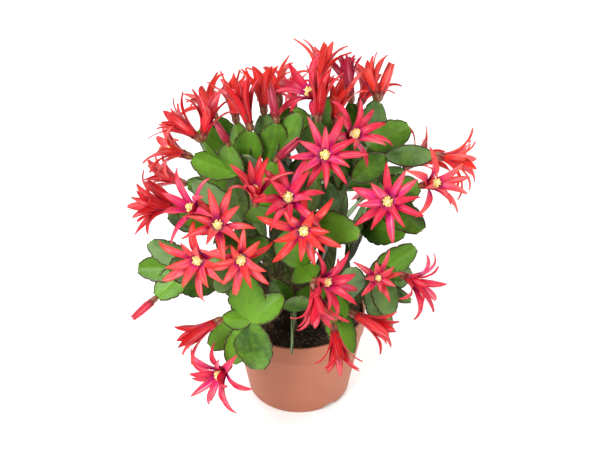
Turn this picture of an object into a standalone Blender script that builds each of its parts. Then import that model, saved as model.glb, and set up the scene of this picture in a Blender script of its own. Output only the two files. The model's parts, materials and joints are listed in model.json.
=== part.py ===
"""A potted Easter cactus: a plastic pot of compost, jointed flat stems and star-shaped blooms.

Sizes and places are in millimetres, and points become metres where an object is made. The origin is
the centre of the pot's base, +Z is up, and the plant's fullest side faces -Y.
"""

import math
import random
from typing import NamedTuple

import bmesh
import bpy
from mathutils import Matrix, Vector
from mathutils.bvhtree import BVHTree

METRES = 0.001
GAP = 0.3  # clearance between two pieces that touch
MARGIN = 0.5  # how much larger a piece is taken to be when it is bent clear of others

# Pot
POT_SIDES = 24
RIM_RADIUS = 60.0
POT_HEIGHT = 87.0
LIP_ROUNDING = 0.8
BAND_HEIGHT = 17.0
BAND_BASE = POT_HEIGHT - BAND_HEIGHT
BAND_STEP = 1.0  # how far the rim band stands out of the body
BAND_ROUNDING = 0.5
BAND_DRAFT = 1.2  # how much narrower the band's inside is at its foot than at the lip
FOOT_RADIUS = 46.5
FOOT_ROUNDING = 3.5
WALL = 1.8
FLOOR = 2.2
CHANNEL_INNER = 27.0  # a shallow ring channel under the floor carries the drain holes
CHANNEL_OUTER = 40.0
CHANNEL_DEPTH = 1.2
FLOOR_TOP = FLOOR + CHANNEL_DEPTH
DRAIN_RADIUS = 4.0
DRAIN_COUNT = 5
NOTCH_COUNT = 3  # scalloped cut-outs in the foot's edge
NOTCH_RADIUS = 15.0
NOTCH_DROP = 10.6  # how far a scallop's centre lies under the base
NOTCH_SIDES = 10
FIRST_NOTCH = -54.0  # its bearing, in degrees

# Soil
SOIL_TOP = 82.0
SOIL_ROUGHNESS = 1.3
SOIL_SHOULDER = 1.0  # how far the soil's edge dips under its top
ROOT_RADIUS = 3.6
ROOT_DEPTH = 12.0
ROOT_RISE = 7.0  # how far a root stub stands out of the soil
HOLE_RADIUS = 4.1

# Flat stem segments
FACE_PULL = 0.8  # how much faces turn to the front, and behind BACK_LINE to the back
BACK_LINE = 45.0
SEGMENT_LENGTH = 44.0
SEGMENT_SINK = 1.2  # how deep a branching segment starts in the one that bears it
SEGMENT_THICKNESS = 2.6
END_THICKNESS = 1.8
OVAL_START = 0.035  # where along a half sine wave a segment's outline starts
OVAL_SPAN = 0.865  # and how much of the wave it takes
OVAL_BLUNTNESS = 0.7
LOBES = 3
NOTCH_DEPTH = 0.13
BOWS = (-0.7, 1.8)  # least and most arch of a segment
TURN_SPREAD = 18.0
WIDTH_SPREAD = 0.06
ROOT_LEAN = 0.3
DROOP = 0.25
CARRY = 0.6  # how much of a fork's direction a twig keeps at its start
MOST_BEND = 42.0  # a sharper bend starts a new chain
RIB_STATIONS = (0.0, 0.5, 1.0)
PLAIN_STATIONS = (0.0, 0.3, 0.75, 1.0)
TRUNK = (17.0, 90.0)  # width and turn from the root to the first fork
LIMB = (21.0, 40.0)  # and from there to the later forks
PLAIN_WIDTH = 21.0  # an old segment, no wider than this, has plain edges
TURN_TRIES = (0, 20, -20, 40, -40, 60, -60, 80, -80)
WIDTH_TRIES = (1.0, 0.85, 0.7, 0.55)

# Blooms
BASE_RADIUS = 1.6
OVARY_RADIUS = 3.3
OVARY_REACH = 5.0
OUTER_RING = (4.0, 11.0)  # radius, distance from the base
OUTER_KEEL = (4.5, 9.8)
INNER_RING = (3.3, 13.2)
INNER_KEEL = (3.7, 12.2)
STAMEN_REACH = 20.0
STAMEN_TIP = 21.5
BUD_TIP = 30.0
OUTER_LENGTH = 34.0
INNER_LENGTH = 29.0
PETAL_WIDTH = 7.4
PETAL_KEEL = 0.8  # how far a petal's underside stands out along its middle
PETAL_CHANNEL = 0.6  # how far its edges rise over its middle
PETAL_ROOT = 0.85  # share of its ring's radius at which a petal starts to spread
PETAL_START = 0.18  # where along a half sine wave its outline starts
PETAL_BLUNTNESS = 0.8
OUTER_OPENING = ((7.0, 27.0), (19.0, 99.0))  # root and tip angle: closed, and the gain when open
INNER_OPENING = ((4.0, 15.0), (10.0, 67.0))
PETAL_LOOSENESS = (3.0, 15.0)  # spread of its angles: closed, and the gain when open
PETAL_SWING = 7.0
PETAL_WIDTHS = (0.86, 1.1)
PETAL_LENGTHS = (0.84, 1.12)
BUD_WIDTH = 0.68
BUD_LENGTH = 0.72
BUD_ANGLE = 3.0
STAMEN_SPREAD = (1.8, 1.2)
OUTER_STATIONS = (0.3, 0.62)
INNER_STATIONS = (0.42,)
TILT_TRIES = (0, 7, -7, 14, -14, 21, -21, 30, -30, 40)
SWING_TRIES = (0, 9, -9)
LENGTH_TRIES = (1.0, 0.85, 0.7)
SWING_COST = 1.6  # how much worse a degree of swing is than one of tilt
LENGTH_COST = 90.0  # and the loss of a petal's whole length

TONES = {
    "coral": (0.80, 0.075, 0.045, 1.0),
    "scarlet": (0.68, 0.025, 0.030, 1.0),
    "pink": (0.78, 0.060, 0.130, 1.0),
    "crimson": (0.30, 0.008, 0.025, 1.0),
}
TERRACOTTA = (0.43, 0.165, 0.09, 1.0)
EARTH = (0.022, 0.015, 0.011, 1.0)
GREENS = ((0.075, 0.20, 0.035, 1.0), (0.10, 0.27, 0.05, 1.0), (0.05, 0.15, 0.04, 1.0))


class Bloom(NamedTuple):
    """One flower: the place of its base, the way it faces and how far it is open, from 0 to 1."""

    node: str
    base: tuple
    facing: tuple
    openness: float
    tone: str = "coral"
    petals: int = 5
    size: float = 1.0


class Fork(NamedTuple):
    """A place where a stem divides, and the fork that it is reached from."""

    after: int
    place: tuple


class Twig(NamedTuple):
    """A chain of segments from a fork to a bloom, by its key, or to a bare tip."""

    fork: int
    end: object
    width: float = 27.0
    turn: float = 0.0


class Stem(NamedTuple):
    """A stem that stands in the soil: its root, its forks and what grows from them."""

    root: tuple
    forks: tuple
    twigs: tuple


class Span(NamedTuple):
    """One segment of a stem from joint to joint, and the number of the segment that bears it."""

    start: Vector
    end: Vector
    width: float
    turn: float
    bearer: int


ROOT = -1

BLOOMS = {
    "b01": Bloom("bloom_01", (15, 34, 290), (0.2, 0.4, 0.9), 0.45),
    "b02": Bloom("bloom_02", (44, 26, 280), (-0.15, 0.5, 0.85), 0.1, "crimson"),
    "b03": Bloom("bloom_03", (66, 31, 279), (-0.3, 0.4, 0.85), 0.45),
    "b03b": Bloom("bloom_03", (66, 31, 279), (0.35, 0.6, 0.75), 0.0, "pink"),
    "b04": Bloom("bloom_04", (19, 12, 289), (-0.6, -0.4, 0.7), 0.95, "pink"),
    "b05": Bloom("bloom_05", (15, -22, 288), (0.1, 0.3, 0.95), 0.12, "scarlet"),
    "b06": Bloom("bloom_06", (29, -3, 275), (0.1, 0.1, 1.0), 0.4),
    "b07": Bloom("bloom_07", (-28, -8, 287), (-0.05, 0.45, 0.9), 0.35),
    "b08": Bloom("bloom_08", (-38, -27, 283), (-0.25, 0.3, 0.9), 0.22, "scarlet"),
    "b09": Bloom("bloom_09", (-50, -10, 280), (-0.15, 0.55, 0.85), 0.2),
    "b10": Bloom("bloom_10", (-17, -24, 288), (-0.2, 0.35, 0.9), 0.0, "crimson", 5, 0.85),
    "b11": Bloom("bloom_11", (-77, -22, 271), (0.2, 0.15, 0.95), 0.35, "scarlet"),
    "b11b": Bloom("bloom_11", (-77, -22, 271), (-0.75, 0.2, 0.55), 0.4),
    "b12": Bloom("bloom_12", (-54, -42, 278), (-0.4, -0.1, 0.9), 0.0, "crimson", 5, 0.7),
    "b13": Bloom("bloom_13", (-86, -22, 256), (-0.85, -0.1, 0.45), 0.9, "coral", 6),
    "b14": Bloom("bloom_14", (-92, -74, 240), (-0.9, -0.3, 0.3), 0.5, "scarlet", 6),
    "b15": Bloom("bloom_14", (-92, -74, 240), (-0.75, 0.2, 0.6), 0.0, "crimson"),
    "b16": Bloom("bloom_16", (-74, -74, 232), (-0.55, -0.4, 0.75), 0.75, "pink"),
    "b17": Bloom("bloom_17", (-64, -82, 223), (0.1, -0.6, 0.8), 0.85),
    "b18": Bloom("bloom_18", (-73, -84, 204), (-0.3, -0.9, 0.3), 1.0, "coral", 6),
    "b19": Bloom("bloom_19", (-45, -92, 212), (0.05, -0.95, 0.25), 1.0, "coral", 6),
    "b20": Bloom("bloom_20", (-33, -86, 250), (0.0, -0.2, 1.0), 0.5, "scarlet"),
    "b21": Bloom("bloom_21", (-8, -80, 247), (0.0, -0.6, 0.8), 0.95, "pink", 6),
    "b22": Bloom("bloom_22", (1, -90, 235), (0.15, -0.9, 0.35), 1.0, "coral", 6),
    "b24": Bloom("bloom_24", (18, -50, 273), (0.1, -0.8, 0.55), 1.0, "pink", 6),
    "b25": Bloom("bloom_25", (36, -27, 272), (0.45, -0.5, 0.75), 0.9, "pink"),
    "b26": Bloom("bloom_26", (71, -70, 245), (-0.15, -0.85, 0.5), 1.0, "pink", 6),
    "b27": Bloom("bloom_27", (97, -38, 239), (0.65, -0.6, 0.5), 0.9),
    "b28": Bloom("bloom_28", (110, -10, 251), (0.95, -0.3, 0.0), 0.65, "coral", 6),
    "b29": Bloom("bloom_29", (-19, -58, 273), (0.65, -0.1, 0.75), 0.0, "crimson", 5, 0.85),
    "b30": Bloom("bloom_30", (11, -101, 191), (0.6, -0.7, 0.4), 0.8, "pink"),
    "b31": Bloom("bloom_30", (11, -101, 191), (0.15, -0.75, -0.6), 0.45),
    "b32": Bloom("bloom_32", (28, -88, 138), (0.15, -0.8, -0.6), 0.35, "scarlet"),
    "b33": Bloom("bloom_33", (41, -86, 148), (0.85, -0.5, -0.15), 0.2, "scarlet"),
    "b34": Bloom("bloom_34", (60, -92, 187), (0.15, -0.8, 0.55), 0.65, "scarlet", 5, 0.75),
    "b35": Bloom("bloom_35", (80, -82, 184), (0.75, -0.65, 0.0), 0.8, "pink"),
    "b36": Bloom("bloom_36", (-62, -92, 146), (-0.85, -0.4, -0.3), 0.25, "scarlet"),
    "b37": Bloom("bloom_37", (-57, -88, 94), (-0.5, -0.85, 0.1), 0.9, "pink", 7),
    "b38": Bloom("bloom_38", (-118, -60, 144), (-0.75, -0.35, -0.55), 0.0, "pink", 5, 0.8),
    "k1": Bloom("bloom_back_1", (-72, 66, 244), (-0.5, 0.65, 0.55), 0.9),
    "k2": Bloom("bloom_back_2", (-4, 92, 240), (-0.1, 0.8, 0.6), 0.95, "pink"),
    "k3": Bloom("bloom_back_3", (52, 76, 248), (0.4, 0.65, 0.6), 0.55, "scarlet"),
    "k4": Bloom("bloom_back_4", (92, 46, 204), (0.8, 0.5, 0.3), 0.8),
    "k5": Bloom("bloom_back_5", (-54, 86, 142), (-0.45, 0.85, -0.1), 0.7),
    "k6": Bloom("bloom_back_6", (56, 86, 146), (0.4, 0.9, -0.1), 0.45, "pink"),
    "k7": Bloom("bloom_back_7", (-98, 34, 196), (-0.9, 0.3, 0.2), 0.6, "scarlet"),
    "k8": Bloom("bloom_back_8", (-16, 50, 266), (-0.15, 0.45, 0.9), 0.75),
}

STEMS = {
    "stem_front_left": Stem(
        (-24, -22),
        (Fork(ROOT, (-38, -58, 130)), Fork(0, (-40, -88, 140))),
        (
            Twig(1, (-34, -100, 100), 34.0),
            Twig(1, "b37"),
            Twig(1, (-44, -76, 176), 32.0),
            Twig(1, "b36", 18.0),
            Twig(1, (-14, -84, 162), 24.0),
            Twig(0, (-74, -72, 100), 28.0),
        ),
    ),
    "stem_front": Stem(
        (-4, -28),
        (Fork(ROOT, (-6, -58, 128)),),
        (
            Twig(0, (2, -88, 165), 24.0),
            Twig(0, (-6, -78, 98), 15.0, 70.0),
            Twig(0, (-20, -70, 168), 21.0),
            Twig(0, (22, -66, 162), 24.0),
        ),
    ),
    "stem_front_right": Stem(
        (22, -22),
        (Fork(ROOT, (26, -54, 134)), Fork(0, (43, -66, 148))),
        (
            Twig(0, (42, -88, 106), 26.0),
            Twig(0, "b32"),
            Twig(0, "b33"),
            Twig(1, (42, -78, 186), 26.0),
        ),
    ),
    "stem_right_low": Stem(
        (36, -8),
        (Fork(ROOT, (58, -34, 138)), Fork(0, (66, -58, 168))),
        (
            Twig(1, "b34"),
            Twig(1, "b35"),
            Twig(0, (98, -20, 166), 26.0),
            Twig(0, (100, 4, 122), 26.0),
            Twig(0, (92, -66, 146), 19.0, 60.0),
            Twig(1, (74, -82, 142), 26.0),
            Twig(0, (76, -60, 108), 22.0),
        ),
    ),
    "stem_left_low": Stem(
        (-37, -6),
        (Fork(ROOT, (-66, -26, 134)), Fork(0, (-92, -47, 165))),
        (
            Twig(1, "b38"),
            Twig(1, (-134, -42, 160), 27.0),
            Twig(1, (-120, -56, 196), 25.0),
            Twig(1, (-103, -82, 184), 22.0),
            Twig(0, (-104, -8, 116), 26.0),
        ),
    ),
    "stem_left_mid": Stem(
        (-20, -8),
        (Fork(ROOT, (-38, -38, 136)), Fork(0, (-52, -62, 180)), Fork(1, (-62, -56, 212))),
        (
            Twig(1, "b18"),
            Twig(1, "b19"),
            Twig(1, (-64, -90, 172), 22.0),
            Twig(0, (-62, -54, 152), 26.0),
            Twig(1, (-26, -68, 206), 25.0),
            Twig(2, "b14"),
            Twig(2, "b16"),
            Twig(2, "b17"),
            Twig(2, (-104, -50, 220), 24.0),
        ),
    ),
    "stem_left_high": Stem(
        (-26, 8),
        (
            Fork(ROOT, (-40, -2, 140)),
            Fork(0, (-48, -14, 190)),
            Fork(1, (-54, -16, 230)),
            Fork(2, (-50, -38, 250)),
        ),
        (
            Twig(3, "b13"),
            Twig(3, "b12"),
            Twig(2, "b11"),
            Twig(1, (-88, -2, 220), 27.0),
        ),
    ),
    "stem_crown_left": Stem(
        (-10, 8),
        (
            Fork(ROOT, (-13, 0, 140)),
            Fork(0, (-18, 2, 184)),
            Fork(1, (-27, -6, 228)),
            Fork(2, (-24, -28, 256)),
            Fork(2, (-43, -30, 252)),
        ),
        (
            Twig(4, "b09", 26.0),
            Twig(4, "b08"),
            Twig(3, "b07"),
            Twig(3, "b10"),
            Twig(2, (-40, -50, 274), 28.0),
            Twig(3, (0, -22, 294), 25.0),
            Twig(1, (-10, -34, 226), 21.0),
            Twig(0, (-30, -24, 180), 21.0),
        ),
    ),
    "stem_crown": Stem(
        (2, 14),
        (Fork(ROOT, (3, 8, 142)), Fork(0, (4, 14, 186)), Fork(1, (4, 14, 232))),
        (
            Twig(2, "b01"),
            Twig(2, "b05"),
            Twig(2, (-2, -4, 280), 28.0),
            Twig(0, (16, -12, 184), 21.0),
            Twig(1, (24, 30, 226), 26.0),
            Twig(1, (-22, 34, 222), 26.0),
        ),
    ),
    "stem_crown_right": Stem(
        (14, 4),
        (
            Fork(ROOT, (20, 0, 140)),
            Fork(0, (30, 8, 182)),
            Fork(1, (44, 10, 222)),
            Fork(2, (58, 4, 252)),
        ),
        (
            Twig(2, "b04"),
            Twig(2, "b02", 22.0, 75.0),
            Twig(2, "b06"),
            Twig(3, "b03", 29.0),
            Twig(3, (90, 6, 268), 29.0),
            Twig(0, (27, 44, 190), 27.0),
        ),
    ),
    "stem_right": Stem(
        (30, 8),
        (
            Fork(ROOT, (42, 0, 138)),
            Fork(0, (54, -16, 184)),
            Fork(1, (64, -24, 222)),
            Fork(2, (70, -24, 258)),
        ),
        (
            Twig(3, "b28", 20.0, 20.0),
            Twig(3, (44, -52, 254), 22.0),
            Twig(2, "b27"),
            Twig(2, "b26"),
            Twig(2, (96, -74, 220), 28.0),
            Twig(1, (100, 0, 214), 26.0),
            Twig(1, (44, -62, 214), 26.0),
            Twig(1, (86, -56, 206), 27.0),
            Twig(0, (58, 34, 172), 27.0),
        ),
    ),
    "stem_centre": Stem(
        (4, -10),
        (
            Fork(ROOT, (5, -26, 136)),
            Fork(0, (5, -44, 182)),
            Fork(1, (4, -56, 218)),
            Fork(2, (-26, -70, 226)),
            Fork(2, (14, -40, 248)),
            Fork(1, (0, -78, 187)),
        ),
        (
            Twig(5, (-6, -84, 226), 33.0),
            Twig(5, "b30"),
            Twig(2, "b22"),
            Twig(2, "b21"),
            Twig(2, (46, -86, 224), 26.0),
            Twig(3, "b20"),
            Twig(3, "b29"),
            Twig(4, "b24"),
            Twig(4, "b25"),
        ),
    ),
    "stem_back": Stem(
        (0, 38),
        (Fork(ROOT, (-2, 46, 136)), Fork(0, (-8, 48, 182)), Fork(1, (-12, 46, 224))),
        (
            Twig(2, "k8"),
            Twig(2, (-40, 28, 256), 27.0),
            Twig(1, (16, 52, 222), 25.0),
            Twig(1, (-28, 68, 210), 27.0),
            Twig(0, (-14, 72, 166), 26.0),
        ),
    ),
    "stem_back_left": Stem(
        (-18, 24),
        (Fork(ROOT, (-32, 38, 136)), Fork(0, (-46, 48, 178)), Fork(1, (-58, 56, 212))),
        (
            Twig(0, "k5"),
            Twig(0, (-66, 62, 108), 27.0),
            Twig(1, "k7"),
            Twig(1, (-86, 66, 176), 27.0),
            Twig(2, "k1"),
            Twig(2, (-84, 40, 248), 26.0),
            Twig(2, (-42, 88, 228), 26.0),
        ),
    ),
    "stem_back_right": Stem(
        (20, 26),
        (
            Fork(ROOT, (30, 42, 136)),
            Fork(0, (38, 52, 180)),
            Fork(1, (42, 56, 216)),
            Fork(1, (14, 72, 210)),
        ),
        (
            Twig(0, "k6"),
            Twig(0, (6, 80, 112), 27.0),
            Twig(1, "k4"),
            Twig(1, (82, 66, 178), 27.0),
            Twig(1, (4, 92, 176), 27.0),
            Twig(2, "k3"),
            Twig(2, (84, 34, 248), 26.0),
            Twig(2, (24, 66, 264), 26.0),
            Twig(3, "k2"),
        ),
    ),
}


class Shape:
    """Points in millimetres with the faces between them."""

    def __init__(self):
        self.points = []
        self.faces = []

    def add(self, point):
        self.points.append(Vector(point))
        return len(self.points) - 1

    def ring(self, points):
        return [self.add(point) for point in points]

    def face(self, *corners):
        self.faces.append(corners)

    def band(self, lower, upper):
        """Quads between two closed rings of the same count."""
        count = len(lower)
        for i in range(count):
            after = (i + 1) % count
            self.face(lower[i], lower[after], upper[after], upper[i])


def material(name, colour, roughness):
    made = bpy.data.materials.new(name)
    made.use_nodes = True
    shader = made.node_tree.nodes["Principled BSDF"]
    shader.inputs["Base Color"].default_value = colour
    shader.inputs["Roughness"].default_value = roughness
    made.diffuse_color = colour
    return made


def mesh_of(name, shape):
    """A triangulated Blender mesh of the shape, in metres, with its faces pointing out."""
    body = bmesh.new()
    corners = [body.verts.new(point * METRES) for point in shape.points]
    for face in shape.faces:
        body.faces.new([corners[i] for i in face])
    bmesh.ops.recalc_face_normals(body, faces=body.faces[:])
    if body.calc_volume(signed=True) < 0:
        bmesh.ops.reverse_faces(body, faces=body.faces[:])
    bmesh.ops.triangulate(body, faces=body.faces[:])
    mesh = bpy.data.meshes.new(name)
    body.to_mesh(mesh)
    body.free()
    return mesh


def add_object(name, mesh, finish=None):
    made = bpy.data.objects.new(name, mesh)
    bpy.context.scene.collection.objects.link(made)
    if finish:
        made.data.materials.clear()
        made.data.materials.append(finish)
    return made


def combine(target, meshes, operation):
    """Joins the meshes to the target, or cuts them from it, with one Boolean on a collection."""
    others = bpy.data.collections.new("others")
    bpy.context.scene.collection.children.link(others)
    for index, mesh in enumerate(meshes):
        others.objects.link(bpy.data.objects.new(f"other_{index}", mesh))
    boolean = target.modifiers.new("Boolean", "BOOLEAN")
    boolean.operation = operation
    boolean.operand_type = "COLLECTION"
    boolean.collection = others
    boolean.solver = "MANIFOLD"
    graph = bpy.context.evaluated_depsgraph_get()
    joined = bpy.data.meshes.new_from_object(target.evaluated_get(graph))
    target.modifiers.clear()
    target.data = joined
    for helper in list(others.objects):
        bpy.data.objects.remove(helper)
    bpy.data.collections.remove(others)


def smooth(target, angle):
    target.data.shade_smooth()
    target.data.set_sharp_from_angle(angle=math.radians(angle))


def turned(shape, profile, sides):
    """Turns a profile of (radius, height) round Z. A radius of 0 closes it with a point."""
    before = None
    for radius, height in profile:
        if radius == 0:
            after = [shape.add((0, 0, height))]
        else:
            after = shape.ring(
                (radius * math.cos(math.tau * i / sides), radius * math.sin(math.tau * i / sides), height)
                for i in range(sides)
            )
        if before and len(before) == len(after):
            shape.band(before, after)
        elif before:
            point, ring = (before, after) if len(before) == 1 else (after, before)
            for i in range(sides):
                shape.face(ring[i], ring[(i + 1) % sides], point[0])
        before = after


def pot_wall_radius(height):
    """The body's outer radius at a height under the rim band."""
    return FOOT_RADIUS + (RIM_RADIUS - BAND_STEP - FOOT_RADIUS) * height / BAND_BASE


def cylinder(radius, start, end, sides=7):
    """A closed cylinder from one point to another."""
    shape = Shape()
    turned(shape, ((0, 0), (radius, 0), (radius, 1), (0, 1)), sides)
    start, end = Vector(start), Vector(end)
    spin = (end - start).to_track_quat("Z", "Y").to_matrix()
    length = (end - start).length
    shape.points = [start + spin @ Vector((p.x, p.y, p.z * length)) for p in shape.points]
    return shape


def inner_wall_radius(height):
    """The pot's inner radius at a height within the rim band."""
    return RIM_RADIUS - WALL - BAND_DRAFT * (POT_HEIGHT - height) / BAND_HEIGHT


def spoke(index, count):
    """One of a count of even directions across the base, the first at the first notch."""
    angle = math.radians(FIRST_NOTCH + 360 / count * index)
    return Vector((math.cos(angle), math.sin(angle), 0))


def drain_cutter(index):
    middle = spoke(index, DRAIN_COUNT) * (CHANNEL_INNER + CHANNEL_OUTER) / 2
    reach = Vector((0, 0, 2 * FLOOR_TOP))
    return cylinder(DRAIN_RADIUS, middle - reach, middle + reach)


def notch_cutter(index):
    way = spoke(index, NOTCH_COUNT)
    low = Vector((0, 0, -NOTCH_DROP))
    return cylinder(NOTCH_RADIUS, way * (CHANNEL_OUTER - WALL) + low, way * RIM_RADIUS + low, NOTCH_SIDES)


def make_pot():
    """The pot, turned as one profile, with drain holes in its floor and scallops in its foot."""
    profile = (
        (0, 0),
        (CHANNEL_INNER, 0),
        (CHANNEL_INNER, CHANNEL_DEPTH),
        (CHANNEL_OUTER, CHANNEL_DEPTH),
        (CHANNEL_OUTER, 0),
        (FOOT_RADIUS - FOOT_ROUNDING, 0),
        (FOOT_RADIUS - FOOT_ROUNDING * 0.3, FOOT_ROUNDING * 0.3),
        (pot_wall_radius(FOOT_ROUNDING), FOOT_ROUNDING),
        (pot_wall_radius(BAND_BASE), BAND_BASE),
        (RIM_RADIUS - BAND_ROUNDING, BAND_BASE + BAND_ROUNDING),
        (RIM_RADIUS, POT_HEIGHT - LIP_ROUNDING),
        (RIM_RADIUS - LIP_ROUNDING, POT_HEIGHT),
        (inner_wall_radius(POT_HEIGHT), POT_HEIGHT - LIP_ROUNDING / 2),
        (inner_wall_radius(BAND_BASE), BAND_BASE),
        (pot_wall_radius(FLOOR) - WALL, FLOOR_TOP),
        (0, FLOOR_TOP),
    )
    shape = Shape()
    turned(shape, profile, POT_SIDES)
    pot = add_object("pot", mesh_of("pot", shape), material("pot", TERRACOTTA, 0.62))
    cutters = [drain_cutter(i) for i in range(DRAIN_COUNT)] + [notch_cutter(i) for i in range(NOTCH_COUNT)]
    combine(pot, [mesh_of("cutter", cutter) for cutter in cutters], "DIFFERENCE")
    smooth(pot, 35)
    return shape


def make_soil():
    """Compost that fills the pot, with a crumbly top and one plain hole for each stem."""
    rng = random.Random("soil")
    floor = FLOOR_TOP + GAP
    shoulder = SOIL_TOP - SOIL_SHOULDER
    shape = Shape()
    profile = (
        (0, floor),
        (pot_wall_radius(FLOOR) - WALL - 2 * GAP, floor),
        (inner_wall_radius(BAND_BASE) - GAP, BAND_BASE),
        (inner_wall_radius(shoulder) - GAP, shoulder),
        (RIM_RADIUS / 2, SOIL_TOP),
        (0, SOIL_TOP),
    )
    turned(shape, profile, POT_SIDES)
    for point in shape.points:
        if point.z == SOIL_TOP:
            point.z += rng.uniform(-SOIL_ROUGHNESS, SOIL_ROUGHNESS)
    soil = add_object("soil", mesh_of("soil", shape), material("soil", EARTH, 0.95))
    holes = []
    for stem in STEMS.values():
        foot = Vector((*stem.root, SOIL_TOP - ROOT_DEPTH - GAP))
        holes.append(cylinder(HOLE_RADIUS, foot, foot + Vector((0, 0, 2 * ROOT_DEPTH)), 4))
    combine(soil, [mesh_of("hole", hole) for hole in holes], "DIFFERENCE")
    return shape


class Crowd:
    """Every piece that has its place, so that the next one can be bent clear of them."""

    def __init__(self):
        self.pieces = []

    def add(self, owner, shape):
        tree = BVHTree.FromPolygons(shape.points, shape.faces)
        self.pieces.append((owner, *self.box(shape), tree))

    def box(self, shape):
        low = Vector([min(p[axis] for p in shape.points) for axis in range(3)])
        high = Vector([max(p[axis] for p in shape.points) for axis in range(3)])
        return low, high

    def touches(self, shape, skip=()):
        low, high = self.box(shape)
        tree = None
        for owner, other_low, other_high, other_tree in self.pieces:
            if owner in skip:
                continue
            if any(low[a] > other_high[a] or high[a] < other_low[a] for a in range(3)):
                continue
            tree = tree or BVHTree.FromPolygons(shape.points, shape.faces)
            if tree.overlap(other_tree):
                return True
        return False


def side_share(t, plain):
    """Half width of a segment along its length, as a share: a blunt oval, scalloped unless it is plain."""
    oval = math.sin(math.pi * (OVAL_START + OVAL_SPAN * t)) ** OVAL_BLUNTNESS
    scallop = 0.0 if plain else abs(2 * ((t * LOBES) % 1.0) - 1) ** 3
    return oval * (1 - NOTCH_DEPTH * scallop)


def side_stations(plain):
    """A station at each lobe's crown and at the notch after it."""
    if plain:
        return PLAIN_STATIONS
    return (0.0, *((lobe + part) / LOBES for lobe in range(LOBES) for part in (0.5, 1.0)))


def strip(shape, side, side_at, rib, rib_at):
    """Triangles between an edge and the midrib, both running from neck to tip."""
    i = j = 0
    while i < len(side) - 1 or j < len(rib) - 1:
        if j == len(rib) - 1 or (i < len(side) - 1 and side_at[i + 1] <= rib_at[j + 1]):
            shape.face(side[i], side[i + 1], rib[j])
            i += 1
        else:
            shape.face(side[i], rib[j + 1], rib[j])
            j += 1


def add_segment(shape, span, normal, width, bow, base=None, grow=0.0):
    """Adds one flat segment: a lens across, blunt at the tip, with scalloped edges and a slight arch.

    It grows out of the ring of four points given as its base, or starts sunk in what bears it. It
    returns the ring at its tip: an edge, the upper rib, the other edge and the lower rib.
    """
    along = (span.end - span.start).normalized()
    side = along.cross(normal)
    start = span.start - along * (0.0 if base else SEGMENT_SINK)
    reach = (span.end - start).length + grow

    def middle(t):
        return start + along * (reach * t) + normal * (bow * 4 * t * (1 - t))

    plain = span.width <= PLAIN_WIDTH
    stations = side_stations(plain)
    lines = []
    for sign in (-1, 1):
        edge = [middle(t) + side * sign * (side_share(t, plain) * width / 2 + grow) for t in stations]
        depths = [END_THICKNESS if t in (0.0, 1.0) else SEGMENT_THICKNESS for t in RIB_STATIONS]
        rib = [middle(t) - normal * sign * (d / 2 + grow) for t, d in zip(RIB_STATIONS, depths)]
        lines += [(edge, stations), (rib, RIB_STATIONS)]
    if base:
        starts = nearest_turn(shape, base, [line[0] for line, _ in lines])
    else:
        starts = shape.ring(line[0] for line, _ in lines)
        shape.face(*starts)
    rows = [[first, *shape.ring(line[1:])] for first, (line, _) in zip(starts, lines)]
    for i in range(4):
        j = (i + 1) % 4
        edge, rib = (i, j) if i % 2 == 0 else (j, i)
        strip(shape, rows[edge], stations, rows[rib], RIB_STATIONS)
    return [row[-1] for row in rows]


def nearest_turn(shape, ring, wanted):
    """The ring's corners in the turn that lies nearest to the wanted points."""
    turns = [ring[shift:] + ring[:shift] for shift in range(4)]
    return min(turns, key=lambda turn: sum((shape.points[i] - p).length for i, p in zip(turn, wanted)))


def segment_shape(span, normal, width, bow, grow=0.0):
    shape = Shape()
    shape.face(*add_segment(shape, span, normal, width, bow, None, grow))
    return shape


def chain_count(start, end):
    return max(1, round((end - start).length / SEGMENT_LENGTH))


def curve_points(start, start_way, end, end_way):
    """Joints along a smooth curve, about one segment apart."""
    reach = (end - start).length
    count = chain_count(start, end)
    points = []
    for i in range(count + 1):
        t = i / count
        s = 1 - t
        bend = start_way * (reach * t * s * s) - end_way * (reach * t * t * s)
        points.append(start * (s * s * (1 + 2 * t)) + end * (t * t * (3 - 2 * t)) + bend)
    return points


def face_normal(start, end, turn):
    """The way a segment's face looks: outwards if it is upright, up if it lies flat, then turned."""
    along = (end - start).normalized()
    middle = (start + end) / 2
    slope = abs(along.z)
    pull = FACE_PULL if middle.y > BACK_LINE else -FACE_PULL
    out = Vector((middle.x, middle.y, 0)).normalized() * slope + Vector((0, pull, 1 - slope))
    normal = (out - along * out.dot(along)).normalized()
    return Matrix.Rotation(math.radians(turn), 3, along) @ normal


def facing_of(bloom):
    return Vector(bloom.facing).normalized()


def bloom_seat(node, base, way):
    """Where the segment under a node's blooms ends, so that its tip just clears the base of each."""
    tilts = [facing_of(bloom).angle(way) for bloom in BLOOMS.values() if bloom.node == node]
    return base - way * (GAP + BASE_RADIUS * math.sin(max(tilts)))


def twig_goal(twig):
    return Vector(BLOOMS[twig.end].base if isinstance(twig.end, str) else twig.end)


def twig_joints(twig, start, start_way):
    """The joints of a twig's chain, which ends at a bare tip or just under a bloom."""
    if not isinstance(twig.end, str):
        end = Vector(twig.end)
        end_way = ((end - start).normalized() - Vector((0, 0, DROOP))).normalized()
        return curve_points(start, start_way, end, end_way)
    bloom = BLOOMS[twig.end]
    joints = curve_points(start, start_way, Vector(bloom.base), facing_of(bloom))
    joints[-1] = bloom_seat(bloom.node, joints[-1], (joints[-1] - joints[-2]).normalized())
    return joints


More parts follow.
